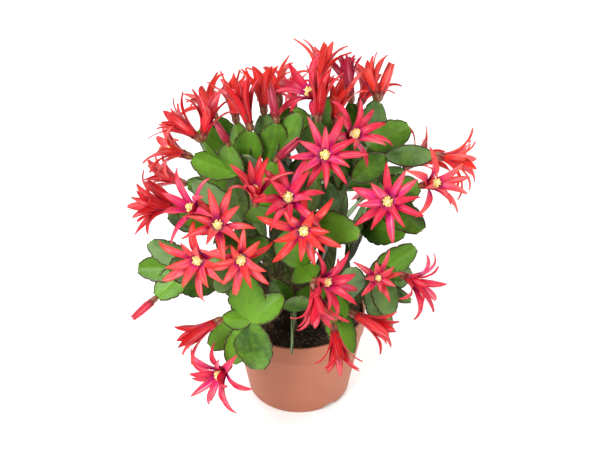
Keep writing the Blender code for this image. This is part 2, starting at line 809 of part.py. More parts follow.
def stem_spans(stem):
    """Every segment of a stem, trunk first, each with the number of the one that bears it."""
    root = Vector((*stem.root, SOIL_TOP + ROOT_RISE))
    lean = Vector((*stem.root, 0)).normalized() * ROOT_LEAN
    ways = {ROOT: (Vector((0, 0, 1)) + lean).normalized()}
    places = {ROOT: root}
    bearers = {ROOT: None}
    spans = []

    def grow(joints, bearer, width, turn):
        for start, end in zip(joints, joints[1:]):
            spans.append(Span(start, end, width, turn, bearer))
            bearer = len(spans) - 1
        return bearer

    for index, fork in enumerate(stem.forks):
        start = places[fork.after]
        places[index] = Vector(fork.place)
        ways[index] = (places[index] - start).normalized()
        width, turn = TRUNK if fork.after == ROOT else LIMB
        joints = curve_points(start, ways[fork.after], places[index], ways[index])
        bearers[index] = grow(joints, bearers[fork.after], width, turn)
    for twig in stem.twigs:
        start = places[twig.fork]
        goal = (twig_goal(twig) - start).normalized()
        start_way = (ways[twig.fork] * CARRY + goal).normalized()
        grow(twig_joints(twig, start, start_way), bearers[twig.fork], twig.width, twig.turn)
    return spans


def settle_segment(crowd, name, span, rng, skip):
    """The face's way, width and bow of a segment, turned or narrowed to be clear of the other stems."""
    turn = span.turn + rng.uniform(-TURN_SPREAD, TURN_SPREAD)
    bow = rng.uniform(*BOWS)
    width = span.width * (1 + rng.uniform(-WIDTH_SPREAD, WIDTH_SPREAD))
    for narrow in WIDTH_TRIES:
        for extra in TURN_TRIES:
            normal = face_normal(span.start, span.end, turn + extra)
            if not crowd.touches(segment_shape(span, normal, width * narrow, bow, MARGIN), skip):
                return normal, width * narrow, bow
    middle = (span.start + span.end) / 2
    print(f"{name} has a segment with no room near {tuple(round(c) for c in middle)}")
    return face_normal(span.start, span.end, turn), width * WIDTH_TRIES[-1], bow


def bend_between(first, second):
    return math.degrees((first.end - first.start).angle(second.end - second.start))


def root_ring(shape, root):
    """The square stub that stands in the soil, closed below. It returns the ring at its top."""
    corners = [Vector((ROOT_RADIUS, 0, 0)), Vector((0, ROOT_RADIUS, 0))]
    corners += [-corner for corner in corners]
    low = Vector((root.x, root.y, SOIL_TOP - ROOT_DEPTH))
    high = Vector((root.x, root.y, SOIL_TOP + ROOT_RISE / 2))
    rings = [shape.ring(level + corner for corner in corners) for level in (low, high)]
    shape.face(*rings[0])
    shape.band(*rings)
    return rings[1]


def stem_shapes(spans, settled):
    """One closed shape for each unbroken chain, from its first segment to its tip."""
    follower = {}
    for number, span in enumerate(spans):
        bearer = span.bearer
        if bearer is not None and bearer not in follower and bend_between(spans[bearer], span) < MOST_BEND:
            follower[bearer] = number
    shapes = []
    followers = set(follower.values())
    for number in range(len(spans)):
        if number in followers:
            continue
        shape = Shape()
        ring = root_ring(shape, spans[0].start) if number == 0 else None
        while number is not None:
            ring = add_segment(shape, spans[number], *settled[number], ring)
            number = follower.get(number)
        shape.face(*ring)
        shapes.append(shape)
    return shapes


def make_stem(crowd, name, stem, finish):
    rng = random.Random(name)
    carried = {BLOOMS[twig.end].node for twig in stem.twigs if isinstance(twig.end, str)}
    spans = stem_spans(stem)
    settled = []
    for span in spans:
        settled.append(settle_segment(crowd, name, span, rng, carried | {name}))
        crowd.add(name, segment_shape(span, *settled[-1]))
    first, *others = stem_shapes(spans, settled)
    target = add_object(name, mesh_of(name, first), finish)
    combine(target, [mesh_of("chain", shape) for shape in others], "UNION")


class Frame:
    """A bloom's own axes: points are given by azimuth in degrees, radius and distance from the base."""

    def __init__(self, base, facing, roll, size):
        self.base = Vector(base)
        self.axis = facing
        self.size = size
        across = facing.orthogonal().normalized()
        self.across = Matrix.Rotation(math.radians(roll), 3, facing) @ across
        self.beside = facing.cross(self.across)

    def out(self, azimuth):
        angle = math.radians(azimuth)
        return self.across * math.cos(angle) + self.beside * math.sin(angle)

    def point(self, azimuth, radius, reach):
        return self.base + (self.out(azimuth) * radius + self.axis * reach) * self.size

    def ring(self, shape, count, shift, radius, reach):
        """Adds an even ring, turned by a share of a step."""
        return shape.ring(self.point((i + shift) * 360 / count, radius, reach) for i in range(count))


class Petal(NamedTuple):
    """One petal's place: azimuth, opening angles at its root and tip, length and width."""

    azimuth: float
    root_angle: float
    tip_angle: float
    length: float
    width: float
    inner: bool


def petal_stations(frame, petal):
    """(middle, along, side, up, half width) at each station of a petal, then its tip."""
    radius, reach = INNER_RING if petal.inner else OUTER_RING
    out = frame.out(petal.azimuth)
    side = frame.axis.cross(out)
    start = frame.point(petal.azimuth, radius * PETAL_ROOT, reach)
    first = math.radians(petal.root_angle)
    bend = math.radians(petal.tip_angle) - first
    length = petal.length * frame.size
    found = []
    for t in (*(INNER_STATIONS if petal.inner else OUTER_STATIONS), 1.0):
        angle = first + bend * t
        rise = (math.sin(angle) - math.sin(first)) / bend
        spread = (math.cos(first) - math.cos(angle)) / bend
        middle = start + (frame.axis * rise + out * spread) * length
        up = frame.axis * math.sin(angle) - out * math.cos(angle)
        outline = math.sin(math.pi * (PETAL_START + (1 - PETAL_START) * t)) ** PETAL_BLUNTNESS
        half = petal.width * frame.size / 2 * outline
        found.append((middle, side, up, half))
    return found


def add_petal(shape, frame, petal, root, grow=0.0):
    """Grows a petal out of a root triangle (left, keel, right) to its pointed tip."""
    *sections, tip = petal_stations(frame, petal)
    before = root
    for middle, side, up, half in sections:
        after = (
            shape.add(middle - side * (half + grow) + up * PETAL_CHANNEL),
            shape.add(middle - up * (PETAL_KEEL + grow)),
            shape.add(middle + side * (half + grow) + up * PETAL_CHANNEL),
        )
        shape.band(before, after)
        before = after
    add_cone(shape, before, tip[0])


def free_petal(frame, petal, grow):
    """The petal alone, closed at its root, as other pieces must stay clear of it."""
    shape = Shape()
    radius, reach = INNER_RING if petal.inner else OUTER_RING
    start = frame.point(petal.azimuth, radius, reach)
    out = frame.out(petal.azimuth)
    side = frame.axis.cross(out) * (radius / 2)
    root = (shape.add(start - side), shape.add(start + out), shape.add(start + side))
    shape.face(*root)
    add_petal(shape, frame, petal, root, grow)
    return shape


def petal_tries():
    """Changes of tilt, swing and length that may clear a petal, smallest first."""
    tries = [(a, b, c) for a in TILT_TRIES for b in SWING_TRIES for c in LENGTH_TRIES]

    def cost(change):
        tilt, swing, share = change
        return abs(tilt) + SWING_COST * abs(swing) + LENGTH_COST * (1 - share)

    return sorted(tries, key=cost)


PETAL_TRIES = petal_tries()


def settle_petal(crowd, frame, petal, owner):
    """The petal bent clear of other pieces, or None where there is no room for it."""
    for tilt, swing, shorter in PETAL_TRIES:
        tried = petal._replace(
            azimuth=petal.azimuth + swing,
            root_angle=petal.root_angle + tilt * 0.5,
            tip_angle=petal.tip_angle + tilt,
            length=petal.length * shorter,
        )
        if not crowd.touches(free_petal(frame, tried, MARGIN), (owner,)):
            return tried
    return None


def partly(values, openness):
    """A value that grows from the first one as a bloom opens, by the second one at most."""
    return values[0] + values[1] * openness


def planned_petals(bloom, rng):
    """The petals before they are bent clear: an outer whorl, then an inner one half a step round."""
    step = 360 / bloom.petals
    if bloom.openness == 0:
        return [
            Petal(i * step, BUD_ANGLE, 0.0, OUTER_LENGTH * BUD_LENGTH, PETAL_WIDTH * BUD_WIDTH, False)
            for i in range(bloom.petals)
        ]
    petals = []
    loose = partly(PETAL_LOOSENESS, bloom.openness)
    for inner, opening, length in ((False, OUTER_OPENING, OUTER_LENGTH), (True, INNER_OPENING, INNER_LENGTH)):
        root_angle, tip_angle = (partly(angles, bloom.openness) for angles in opening)
        for i in range(bloom.petals):
            change = rng.uniform(-loose, loose)
            petals.append(
                Petal(
                    (i + inner / 2) * step + rng.uniform(-PETAL_SWING, PETAL_SWING),
                    root_angle + change / 2,
                    tip_angle + change,
                    length * rng.uniform(*PETAL_LENGTHS),
                    PETAL_WIDTH * rng.uniform(*PETAL_WIDTHS),
                    inner,
                )
            )
    return petals


def bloom_frame(bloom, key):
    roll = random.Random(key).uniform(0, 360)
    return Frame(bloom.base, facing_of(bloom), roll, bloom.size)


def bloom_core(bloom, frame, grow=0.0):
    """The ovary and tube of a bloom, closed, as other pieces must stay clear of it."""
    shape = Shape()
    rings = ((BASE_RADIUS, 0.0), (OVARY_RADIUS, OVARY_REACH), OUTER_KEEL, INNER_RING)
    loops = [frame.ring(shape, bloom.petals, -0.5, radius + grow, reach) for radius, reach in rings]
    for lower, upper in zip(loops, loops[1:]):
        shape.band(lower, upper)
    shape.face(*loops[0])
    shape.face(*loops[-1])
    return shape


def whorl_root(shape, frame, petal, left, keel_at, right, azimuth):
    """Closes the root of a petal: its keel point, then the petal, or a plain face if it has none."""
    keel = shape.add(frame.point(azimuth, *keel_at))
    if petal:
        add_petal(shape, frame, petal, (left, keel, right))
    else:
        shape.face(left, keel, right)
    return keel


def add_cone(shape, ring, point):
    tip = shape.add(point)
    for i, corner in enumerate(ring):
        shape.face(corner, ring[(i + 1) % len(ring)], tip)


def bloom_shape(bloom, frame, petals):
    """One closed surface: ribbed ovary, tube, both whorls of petals, throat and stamens."""
    count = bloom.petals
    step = 360 / count
    outer, inner = petals[:count], petals[count:]
    shape = Shape()
    base = frame.ring(shape, count, -0.5, BASE_RADIUS, 0)
    ovary = frame.ring(shape, count, -0.5, OVARY_RADIUS, OVARY_REACH)
    lips = frame.ring(shape, count, -0.5, *OUTER_RING)
    shape.face(*base)
    shape.band(base, ovary)
    for i in range(count):
        after = (i + 1) % count
        keel = whorl_root(shape, frame, outer[i], lips[i], OUTER_KEEL, lips[after], i * step)
        shape.face(ovary[i], ovary[after], keel)
        shape.face(ovary[i], keel, lips[i])
        shape.face(ovary[after], lips[after], keel)
    if not inner:
        add_cone(shape, lips, frame.point(0, 0, BUD_TIP))
        return shape
    collar = frame.ring(shape, count, 0, *INNER_RING)
    for i in range(count):
        after = (i + 1) % count
        shape.face(lips[i], lips[after], collar[i])
        azimuth = (i + 0.5) * step
        keel = whorl_root(shape, frame, inner[i], collar[i], INNER_KEEL, collar[after], azimuth)
        shape.face(collar[i], lips[after], keel)
        shape.face(lips[after], collar[after], keel)
    stamens = frame.ring(shape, count, 0, partly(STAMEN_SPREAD, bloom.openness), STAMEN_REACH)
    shape.band(collar, stamens)
    add_cone(shape, stamens, frame.point(0, 0, STAMEN_TIP))
    return shape


def make_blooms(crowd):
    """Settles the petals of every bloom in turn, then makes one object for each node."""
    shapes = {}
    for key, bloom in BLOOMS.items():
        rng = random.Random(key + " petals")
        frame = bloom_frame(bloom, key)
        petals = []
        for petal in planned_petals(bloom, rng):
            settled = settle_petal(crowd, frame, petal, bloom.node)
            petals.append(settled)
        for petal in filter(None, petals):
            crowd.add(bloom.node, free_petal(frame, petal, 0.0))
        lost = petals.count(None)
        if lost:
            print(f"{key} has no room for {lost} of its petals")
        shapes.setdefault(bloom.node, []).append((bloom, bloom_shape(bloom, frame, petals)))
    for node, members in shapes.items():
        tone = members[0][0].tone
        finish = material(node, TONES[tone], 0.42)
        target = add_object(node, mesh_of(node, members[0][1]), finish)
        if len(members) > 1:
            combine(target, [mesh_of("twin", shape) for _, shape in members[1:]], "UNION")


def main():
    for old in list(bpy.data.objects):
        bpy.data.objects.remove(old)
    crowd = Crowd()
    crowd.add("pot", make_pot())
    crowd.add("soil", make_soil())
    for key, bloom in BLOOMS.items():
        crowd.add(bloom.node, bloom_core(bloom, bloom_frame(bloom, key), GAP))
    for index, (name, stem) in enumerate(STEMS.items()):
        green = GREENS[index % len(GREENS)]
        make_stem(crowd, name, stem, material(name, green, 0.38))
    make_blooms(crowd)


main()
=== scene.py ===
"""A potted Easter cactus dressed for its picture: plastic pot, compost, jointed flat stems and blooms.

Every piece follows the plan of the solid part that it stands for. Places are in millimetres, with the
origin at the centre of the pot's base and +Z up, and points become metres where a piece is made.
"""

import json
import math
import random
from typing import NamedTuple

import bmesh
import bpy
from mathutils import Matrix, Vector, noise
from mathutils.kdtree import KDTree

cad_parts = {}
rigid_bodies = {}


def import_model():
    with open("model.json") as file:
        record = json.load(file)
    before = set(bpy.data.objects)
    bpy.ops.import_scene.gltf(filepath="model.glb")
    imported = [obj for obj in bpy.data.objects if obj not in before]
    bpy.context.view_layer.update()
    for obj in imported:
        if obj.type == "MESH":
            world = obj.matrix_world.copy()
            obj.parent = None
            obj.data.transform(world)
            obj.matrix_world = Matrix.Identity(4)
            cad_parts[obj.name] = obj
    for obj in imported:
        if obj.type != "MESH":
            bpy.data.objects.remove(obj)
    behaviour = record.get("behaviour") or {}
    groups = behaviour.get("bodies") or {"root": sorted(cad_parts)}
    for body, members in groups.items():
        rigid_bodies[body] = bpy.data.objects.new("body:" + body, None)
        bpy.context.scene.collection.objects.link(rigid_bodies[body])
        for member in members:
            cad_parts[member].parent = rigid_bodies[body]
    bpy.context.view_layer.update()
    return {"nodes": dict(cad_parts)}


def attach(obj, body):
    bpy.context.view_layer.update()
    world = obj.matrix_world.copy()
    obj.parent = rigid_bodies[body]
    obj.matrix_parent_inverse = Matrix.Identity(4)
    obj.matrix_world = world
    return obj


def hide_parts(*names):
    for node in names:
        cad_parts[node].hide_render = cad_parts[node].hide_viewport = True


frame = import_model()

bl_info = {
    "name": "Potted Easter Cactus",
    "version": (1, 0, 0),
    "blender": (4, 5, 0),
    "location": "3D View > Sidebar > Cactus",
    "description": "Makes a flowering Easter cactus in a plastic pot, piece by piece",
    "category": "Add Mesh",
}

METRES = 0.001

# Pot
RIM_RADIUS = 60.0
POT_HEIGHT = 87.0
LIP_ROUNDING = 0.8
BAND_HEIGHT = 17.0
BAND_BASE = POT_HEIGHT - BAND_HEIGHT
BAND_STEP = 1.0
BAND_ROUNDING = 0.5
BAND_DRAFT = 1.2
FOOT_RADIUS = 46.5
FOOT_ROUNDING = 3.5
WALL = 1.8
FLOOR = 2.2
CHANNEL_INNER = 27.0
CHANNEL_OUTER = 40.0
CHANNEL_DEPTH = 1.2
FLOOR_TOP = FLOOR + CHANNEL_DEPTH
DRAIN_RADIUS = 4.0
DRAIN_COUNT = 5
NOTCH_COUNT = 3
NOTCH_RADIUS = 15.0
NOTCH_DROP = 10.6
FIRST_NOTCH = -54.0

# Soil
SOIL_TOP = 82.0
SOIL_GAP = 0.3
ROOT_DEPTH = 12.0
ROOT_RISE = 7.0

# Flat stem segments, as the solid part lays them out
GAP = 0.3
FACE_PULL = 0.8
BACK_LINE = 45.0
SEGMENT_LENGTH = 44.0
SEGMENT_SINK = 1.2
OVAL_START = 0.035
OVAL_SPAN = 0.865
OVAL_BLUNTNESS = 0.7
SOLID_LOBES = 3
SOLID_NOTCH = 0.13
BOWS = (-0.7, 1.8)
TURN_SPREAD = 18.0
WIDTH_SPREAD = 0.06
ROOT_LEAN = 0.3
DROOP = 0.25
CARRY = 0.6
PLAIN_STATIONS = (0.3, 0.75)
TRUNK = (17.0, 90.0, 1.0)
LIMB = (21.0, 40.0, 0.55)
PLAIN_WIDTH = 21.0
TURN_TRIES = (0, 20, -20, 40, -40, 60, -60, 80, -80)
WIDTH_TRIES = (1.0, 0.85, 0.7, 0.55)

# Flat stem segments, as they are finished here
LOBES = 5
NOTCH_DEPTH = 0.085
STATIONS_PER_LOBE = 6
COLUMNS = (0.0, 0.12, 0.32, 0.56, 0.8, 0.94)
RIB_WIDTH = 1.9
BLADE_SHARE = 0.42
WAVE = 0.5
TIP_ROUNDING = 1.1

# Painted shade on segments that stand in the plant's own shade: nearer to its axis, and lower
SHADE_RADIUS = 78
SHADE_FADE = 50
SHADE_TOP = 285
SHADE_DROP = 60

# Blooms, as the solid part lays them out
BASE_RADIUS = 1.6
OUTER_RING = (4.0, 11.0)
INNER_RING = (3.3, 13.2)
OUTER_LENGTH = 34.0
INNER_LENGTH = 29.0
PETAL_WIDTH = 7.4
PETAL_KEEL = 0.8
PETAL_CHANNEL = 0.6
PETAL_ROOT = 0.85
PETAL_START = 0.18
PETAL_BLUNTNESS = 0.8
OUTER_OPENING = ((7.0, 27.0), (19.0, 99.0))
INNER_OPENING = ((4.0, 15.0), (10.0, 67.0))
PETAL_LOOSENESS = (3.0, 15.0)
PETAL_SWING = 7.0
PETAL_WIDTHS = (0.86, 1.1)
PETAL_LENGTHS = (0.84, 1.12)
BUD_WIDTH = 0.68
BUD_LENGTH = 0.72
BUD_ANGLE = 3.0
OUTER_STATIONS = (0.3, 0.62)
INNER_STATIONS = (0.42,)
TILT_TRIES = (0, 7, -7, 14, -14, 21, -21, 30, -30, 40)
SWING_TRIES = (0, 9, -9)
LENGTH_TRIES = (1.0, 0.85, 0.7)

# Blooms, as they are finished here
PETAL_ROWS = 15
PETAL_COLUMNS = (0.0, 0.2, 0.5, 0.82)
PETAL_THICKNESS = 0.5
SHUT_ANGLE = -9.0
TONE_SPREAD = 0.42
HOOK_START = 0.6
HOOK_REACH = 14
SWAY_START = 0.25
RIB_DEPTH = 0.13
BASE_PROFILE = (
    (0.9, -0.4),
    (1.7, 0.0),
    (2.7, 1.2),
    (3.3, 2.8),
    (3.5, 4.4),
    (3.2, 6.2),
    (2.9, 7.6),
    (3.1, 9.0),
    (3.6, 10.2),
    (3.9, 11.2),
)
THROAT_PROFILE = ((3.9, 11.2), (3.3, 12.9), (2.2, 12.0), (1.0, 11.4))
FILAMENT_OPENING = (1.3, 2.1)

# Stage
FLOOR_REACH = 4000
SWEEP_START = 2600
SWEEP = 900
SWEEP_TOP = 6000
LAMP_TARGET = 170
CAMERA_RISE = 33.61
CAMERA_AIM = (1.0, 0.0, 175.8)
CAMERA_LENS = 69.51
SENSOR_WIDTH = 36.0


class Bloom(NamedTuple):
    """One flower: the place of its base, the way it faces and how far it is open, from 0 to 1."""

    node: str
    base: tuple
    facing: tuple
    openness: float
    tone: str = "coral"
    petals: int = 5
    size: float = 1.0


class Fork(NamedTuple):
    """A place where a stem divides, and the fork that it is reached from."""

    after: int
    place: tuple


class Twig(NamedTuple):
    """A chain of segments from a fork to a bloom, by its key, or to a bare tip."""

    fork: int
    end: object
    width: float = 27.0
    turn: float = 0.0


class Stem(NamedTuple):
    """A stem that stands in the soil: its root, its forks and what grows from them."""

    root: tuple
    forks: tuple
    twigs: tuple


class Span(NamedTuple):
    """One segment from joint to joint. Its age is 1 for a trunk and 0 for a young tip."""

    start: Vector
    end: Vector
    width: float
    turn: float
    age: float


ROOT = -1

BLOOMS = {
    "b01": Bloom("bloom_01", (15, 34, 290), (0.2, 0.4, 0.9), 0.45),
    "b02": Bloom("bloom_02", (44, 26, 280), (-0.15, 0.5, 0.85), 0.1, "crimson"),
    "b03": Bloom("bloom_03", (66, 31, 279), (-0.3, 0.4, 0.85), 0.45),
    "b03b": Bloom("bloom_03", (66, 31, 279), (0.35, 0.6, 0.75), 0.0, "pink"),
    "b04": Bloom("bloom_04", (19, 12, 289), (-0.6, -0.4, 0.7), 0.95, "pink"),
    "b05": Bloom("bloom_05", (15, -22, 288), (0.1, 0.3, 0.95), 0.12, "scarlet"),
    "b06": Bloom("bloom_06", (29, -3, 275), (0.1, 0.1, 1.0), 0.4),
    "b07": Bloom("bloom_07", (-28, -8, 287), (-0.05, 0.45, 0.9), 0.35),
    "b08": Bloom("bloom_08", (-38, -27, 283), (-0.25, 0.3, 0.9), 0.22, "scarlet"),
    "b09": Bloom("bloom_09", (-50, -10, 280), (-0.15, 0.55, 0.85), 0.2),
    "b10": Bloom("bloom_10", (-17, -24, 288), (-0.2, 0.35, 0.9), 0.0, "crimson", 5, 0.85),
    "b11": Bloom("bloom_11", (-77, -22, 271), (0.2, 0.15, 0.95), 0.35, "scarlet"),
    "b11b": Bloom("bloom_11", (-77, -22, 271), (-0.75, 0.2, 0.55), 0.4),
    "b12": Bloom("bloom_12", (-54, -42, 278), (-0.4, -0.1, 0.9), 0.0, "crimson", 5, 0.7),
    "b13": Bloom("bloom_13", (-86, -22, 256), (-0.85, -0.1, 0.45), 0.9, "coral", 6),
    "b14": Bloom("bloom_14", (-92, -74, 240), (-0.9, -0.3, 0.3), 0.5, "scarlet", 6),
    "b15": Bloom("bloom_14", (-92, -74, 240), (-0.75, 0.2, 0.6), 0.0, "crimson"),
    "b16": Bloom("bloom_16", (-74, -74, 232), (-0.55, -0.4, 0.75), 0.75, "pink"),
    "b17": Bloom("bloom_17", (-64, -82, 223), (0.1, -0.6, 0.8), 0.85),
    "b18": Bloom("bloom_18", (-73, -84, 204), (-0.3, -0.9, 0.3), 1.0, "coral", 6),
    "b19": Bloom("bloom_19", (-45, -92, 212), (0.05, -0.95, 0.25), 1.0, "coral", 6),
    "b20": Bloom("bloom_20", (-33, -86, 250), (0.0, -0.2, 1.0), 0.5, "scarlet"),
    "b21": Bloom("bloom_21", (-8, -80, 247), (0.0, -0.6, 0.8), 0.95, "pink", 6),
    "b22": Bloom("bloom_22", (1, -90, 235), (0.15, -0.9, 0.35), 1.0, "coral", 6),
    "b24": Bloom("bloom_24", (18, -50, 273), (0.1, -0.8, 0.55), 1.0, "pink", 6),
    "b25": Bloom("bloom_25", (36, -27, 272), (0.45, -0.5, 0.75), 0.9, "pink"),
    "b26": Bloom("bloom_26", (71, -70, 245), (-0.15, -0.85, 0.5), 1.0, "pink", 6),
    "b27": Bloom("bloom_27", (97, -38, 239), (0.65, -0.6, 0.5), 0.9),
    "b28": Bloom("bloom_28", (110, -10, 251), (0.95, -0.3, 0.0), 0.65, "coral", 6),
    "b29": Bloom("bloom_29", (-19, -58, 273), (0.65, -0.1, 0.75), 0.0, "crimson", 5, 0.85),
    "b30": Bloom("bloom_30", (11, -101, 191), (0.6, -0.7, 0.4), 0.8, "pink"),
    "b31": Bloom("bloom_30", (11, -101, 191), (0.15, -0.75, -0.6), 0.45),
    "b32": Bloom("bloom_32", (28, -88, 138), (0.15, -0.8, -0.6), 0.35, "scarlet"),
    "b33": Bloom("bloom_33", (41, -86, 148), (0.85, -0.5, -0.15), 0.2, "scarlet"),
    "b34": Bloom("bloom_34", (60, -92, 187), (0.15, -0.8, 0.55), 0.65, "scarlet", 5, 0.75),
    "b35": Bloom("bloom_35", (80, -82, 184), (0.75, -0.65, 0.0), 0.8, "pink"),
    "b36": Bloom("bloom_36", (-62, -92, 146), (-0.85, -0.4, -0.3), 0.25, "scarlet"),
    "b37": Bloom("bloom_37", (-57, -88, 94), (-0.5, -0.85, 0.1), 0.9, "pink", 7),
    "b38": Bloom("bloom_38", (-118, -60, 144), (-0.75, -0.35, -0.55), 0.0, "pink", 5, 0.8),
    "k1": Bloom("bloom_back_1", (-72, 66, 244), (-0.5, 0.65, 0.55), 0.9),
    "k2": Bloom("bloom_back_2", (-4, 92, 240), (-0.1, 0.8, 0.6), 0.95, "pink"),
    "k3": Bloom("bloom_back_3", (52, 76, 248), (0.4, 0.65, 0.6), 0.55, "scarlet"),
    "k4": Bloom("bloom_back_4", (92, 46, 204), (0.8, 0.5, 0.3), 0.8),
    "k5": Bloom("bloom_back_5", (-54, 86, 142), (-0.45, 0.85, -0.1), 0.7),
    "k6": Bloom("bloom_back_6", (56, 86, 146), (0.4, 0.9, -0.1), 0.45, "pink"),
    "k7": Bloom("bloom_back_7", (-98, 34, 196), (-0.9, 0.3, 0.2), 0.6, "scarlet"),
    "k8": Bloom("bloom_back_8", (-16, 50, 266), (-0.15, 0.45, 0.9), 0.75),
}

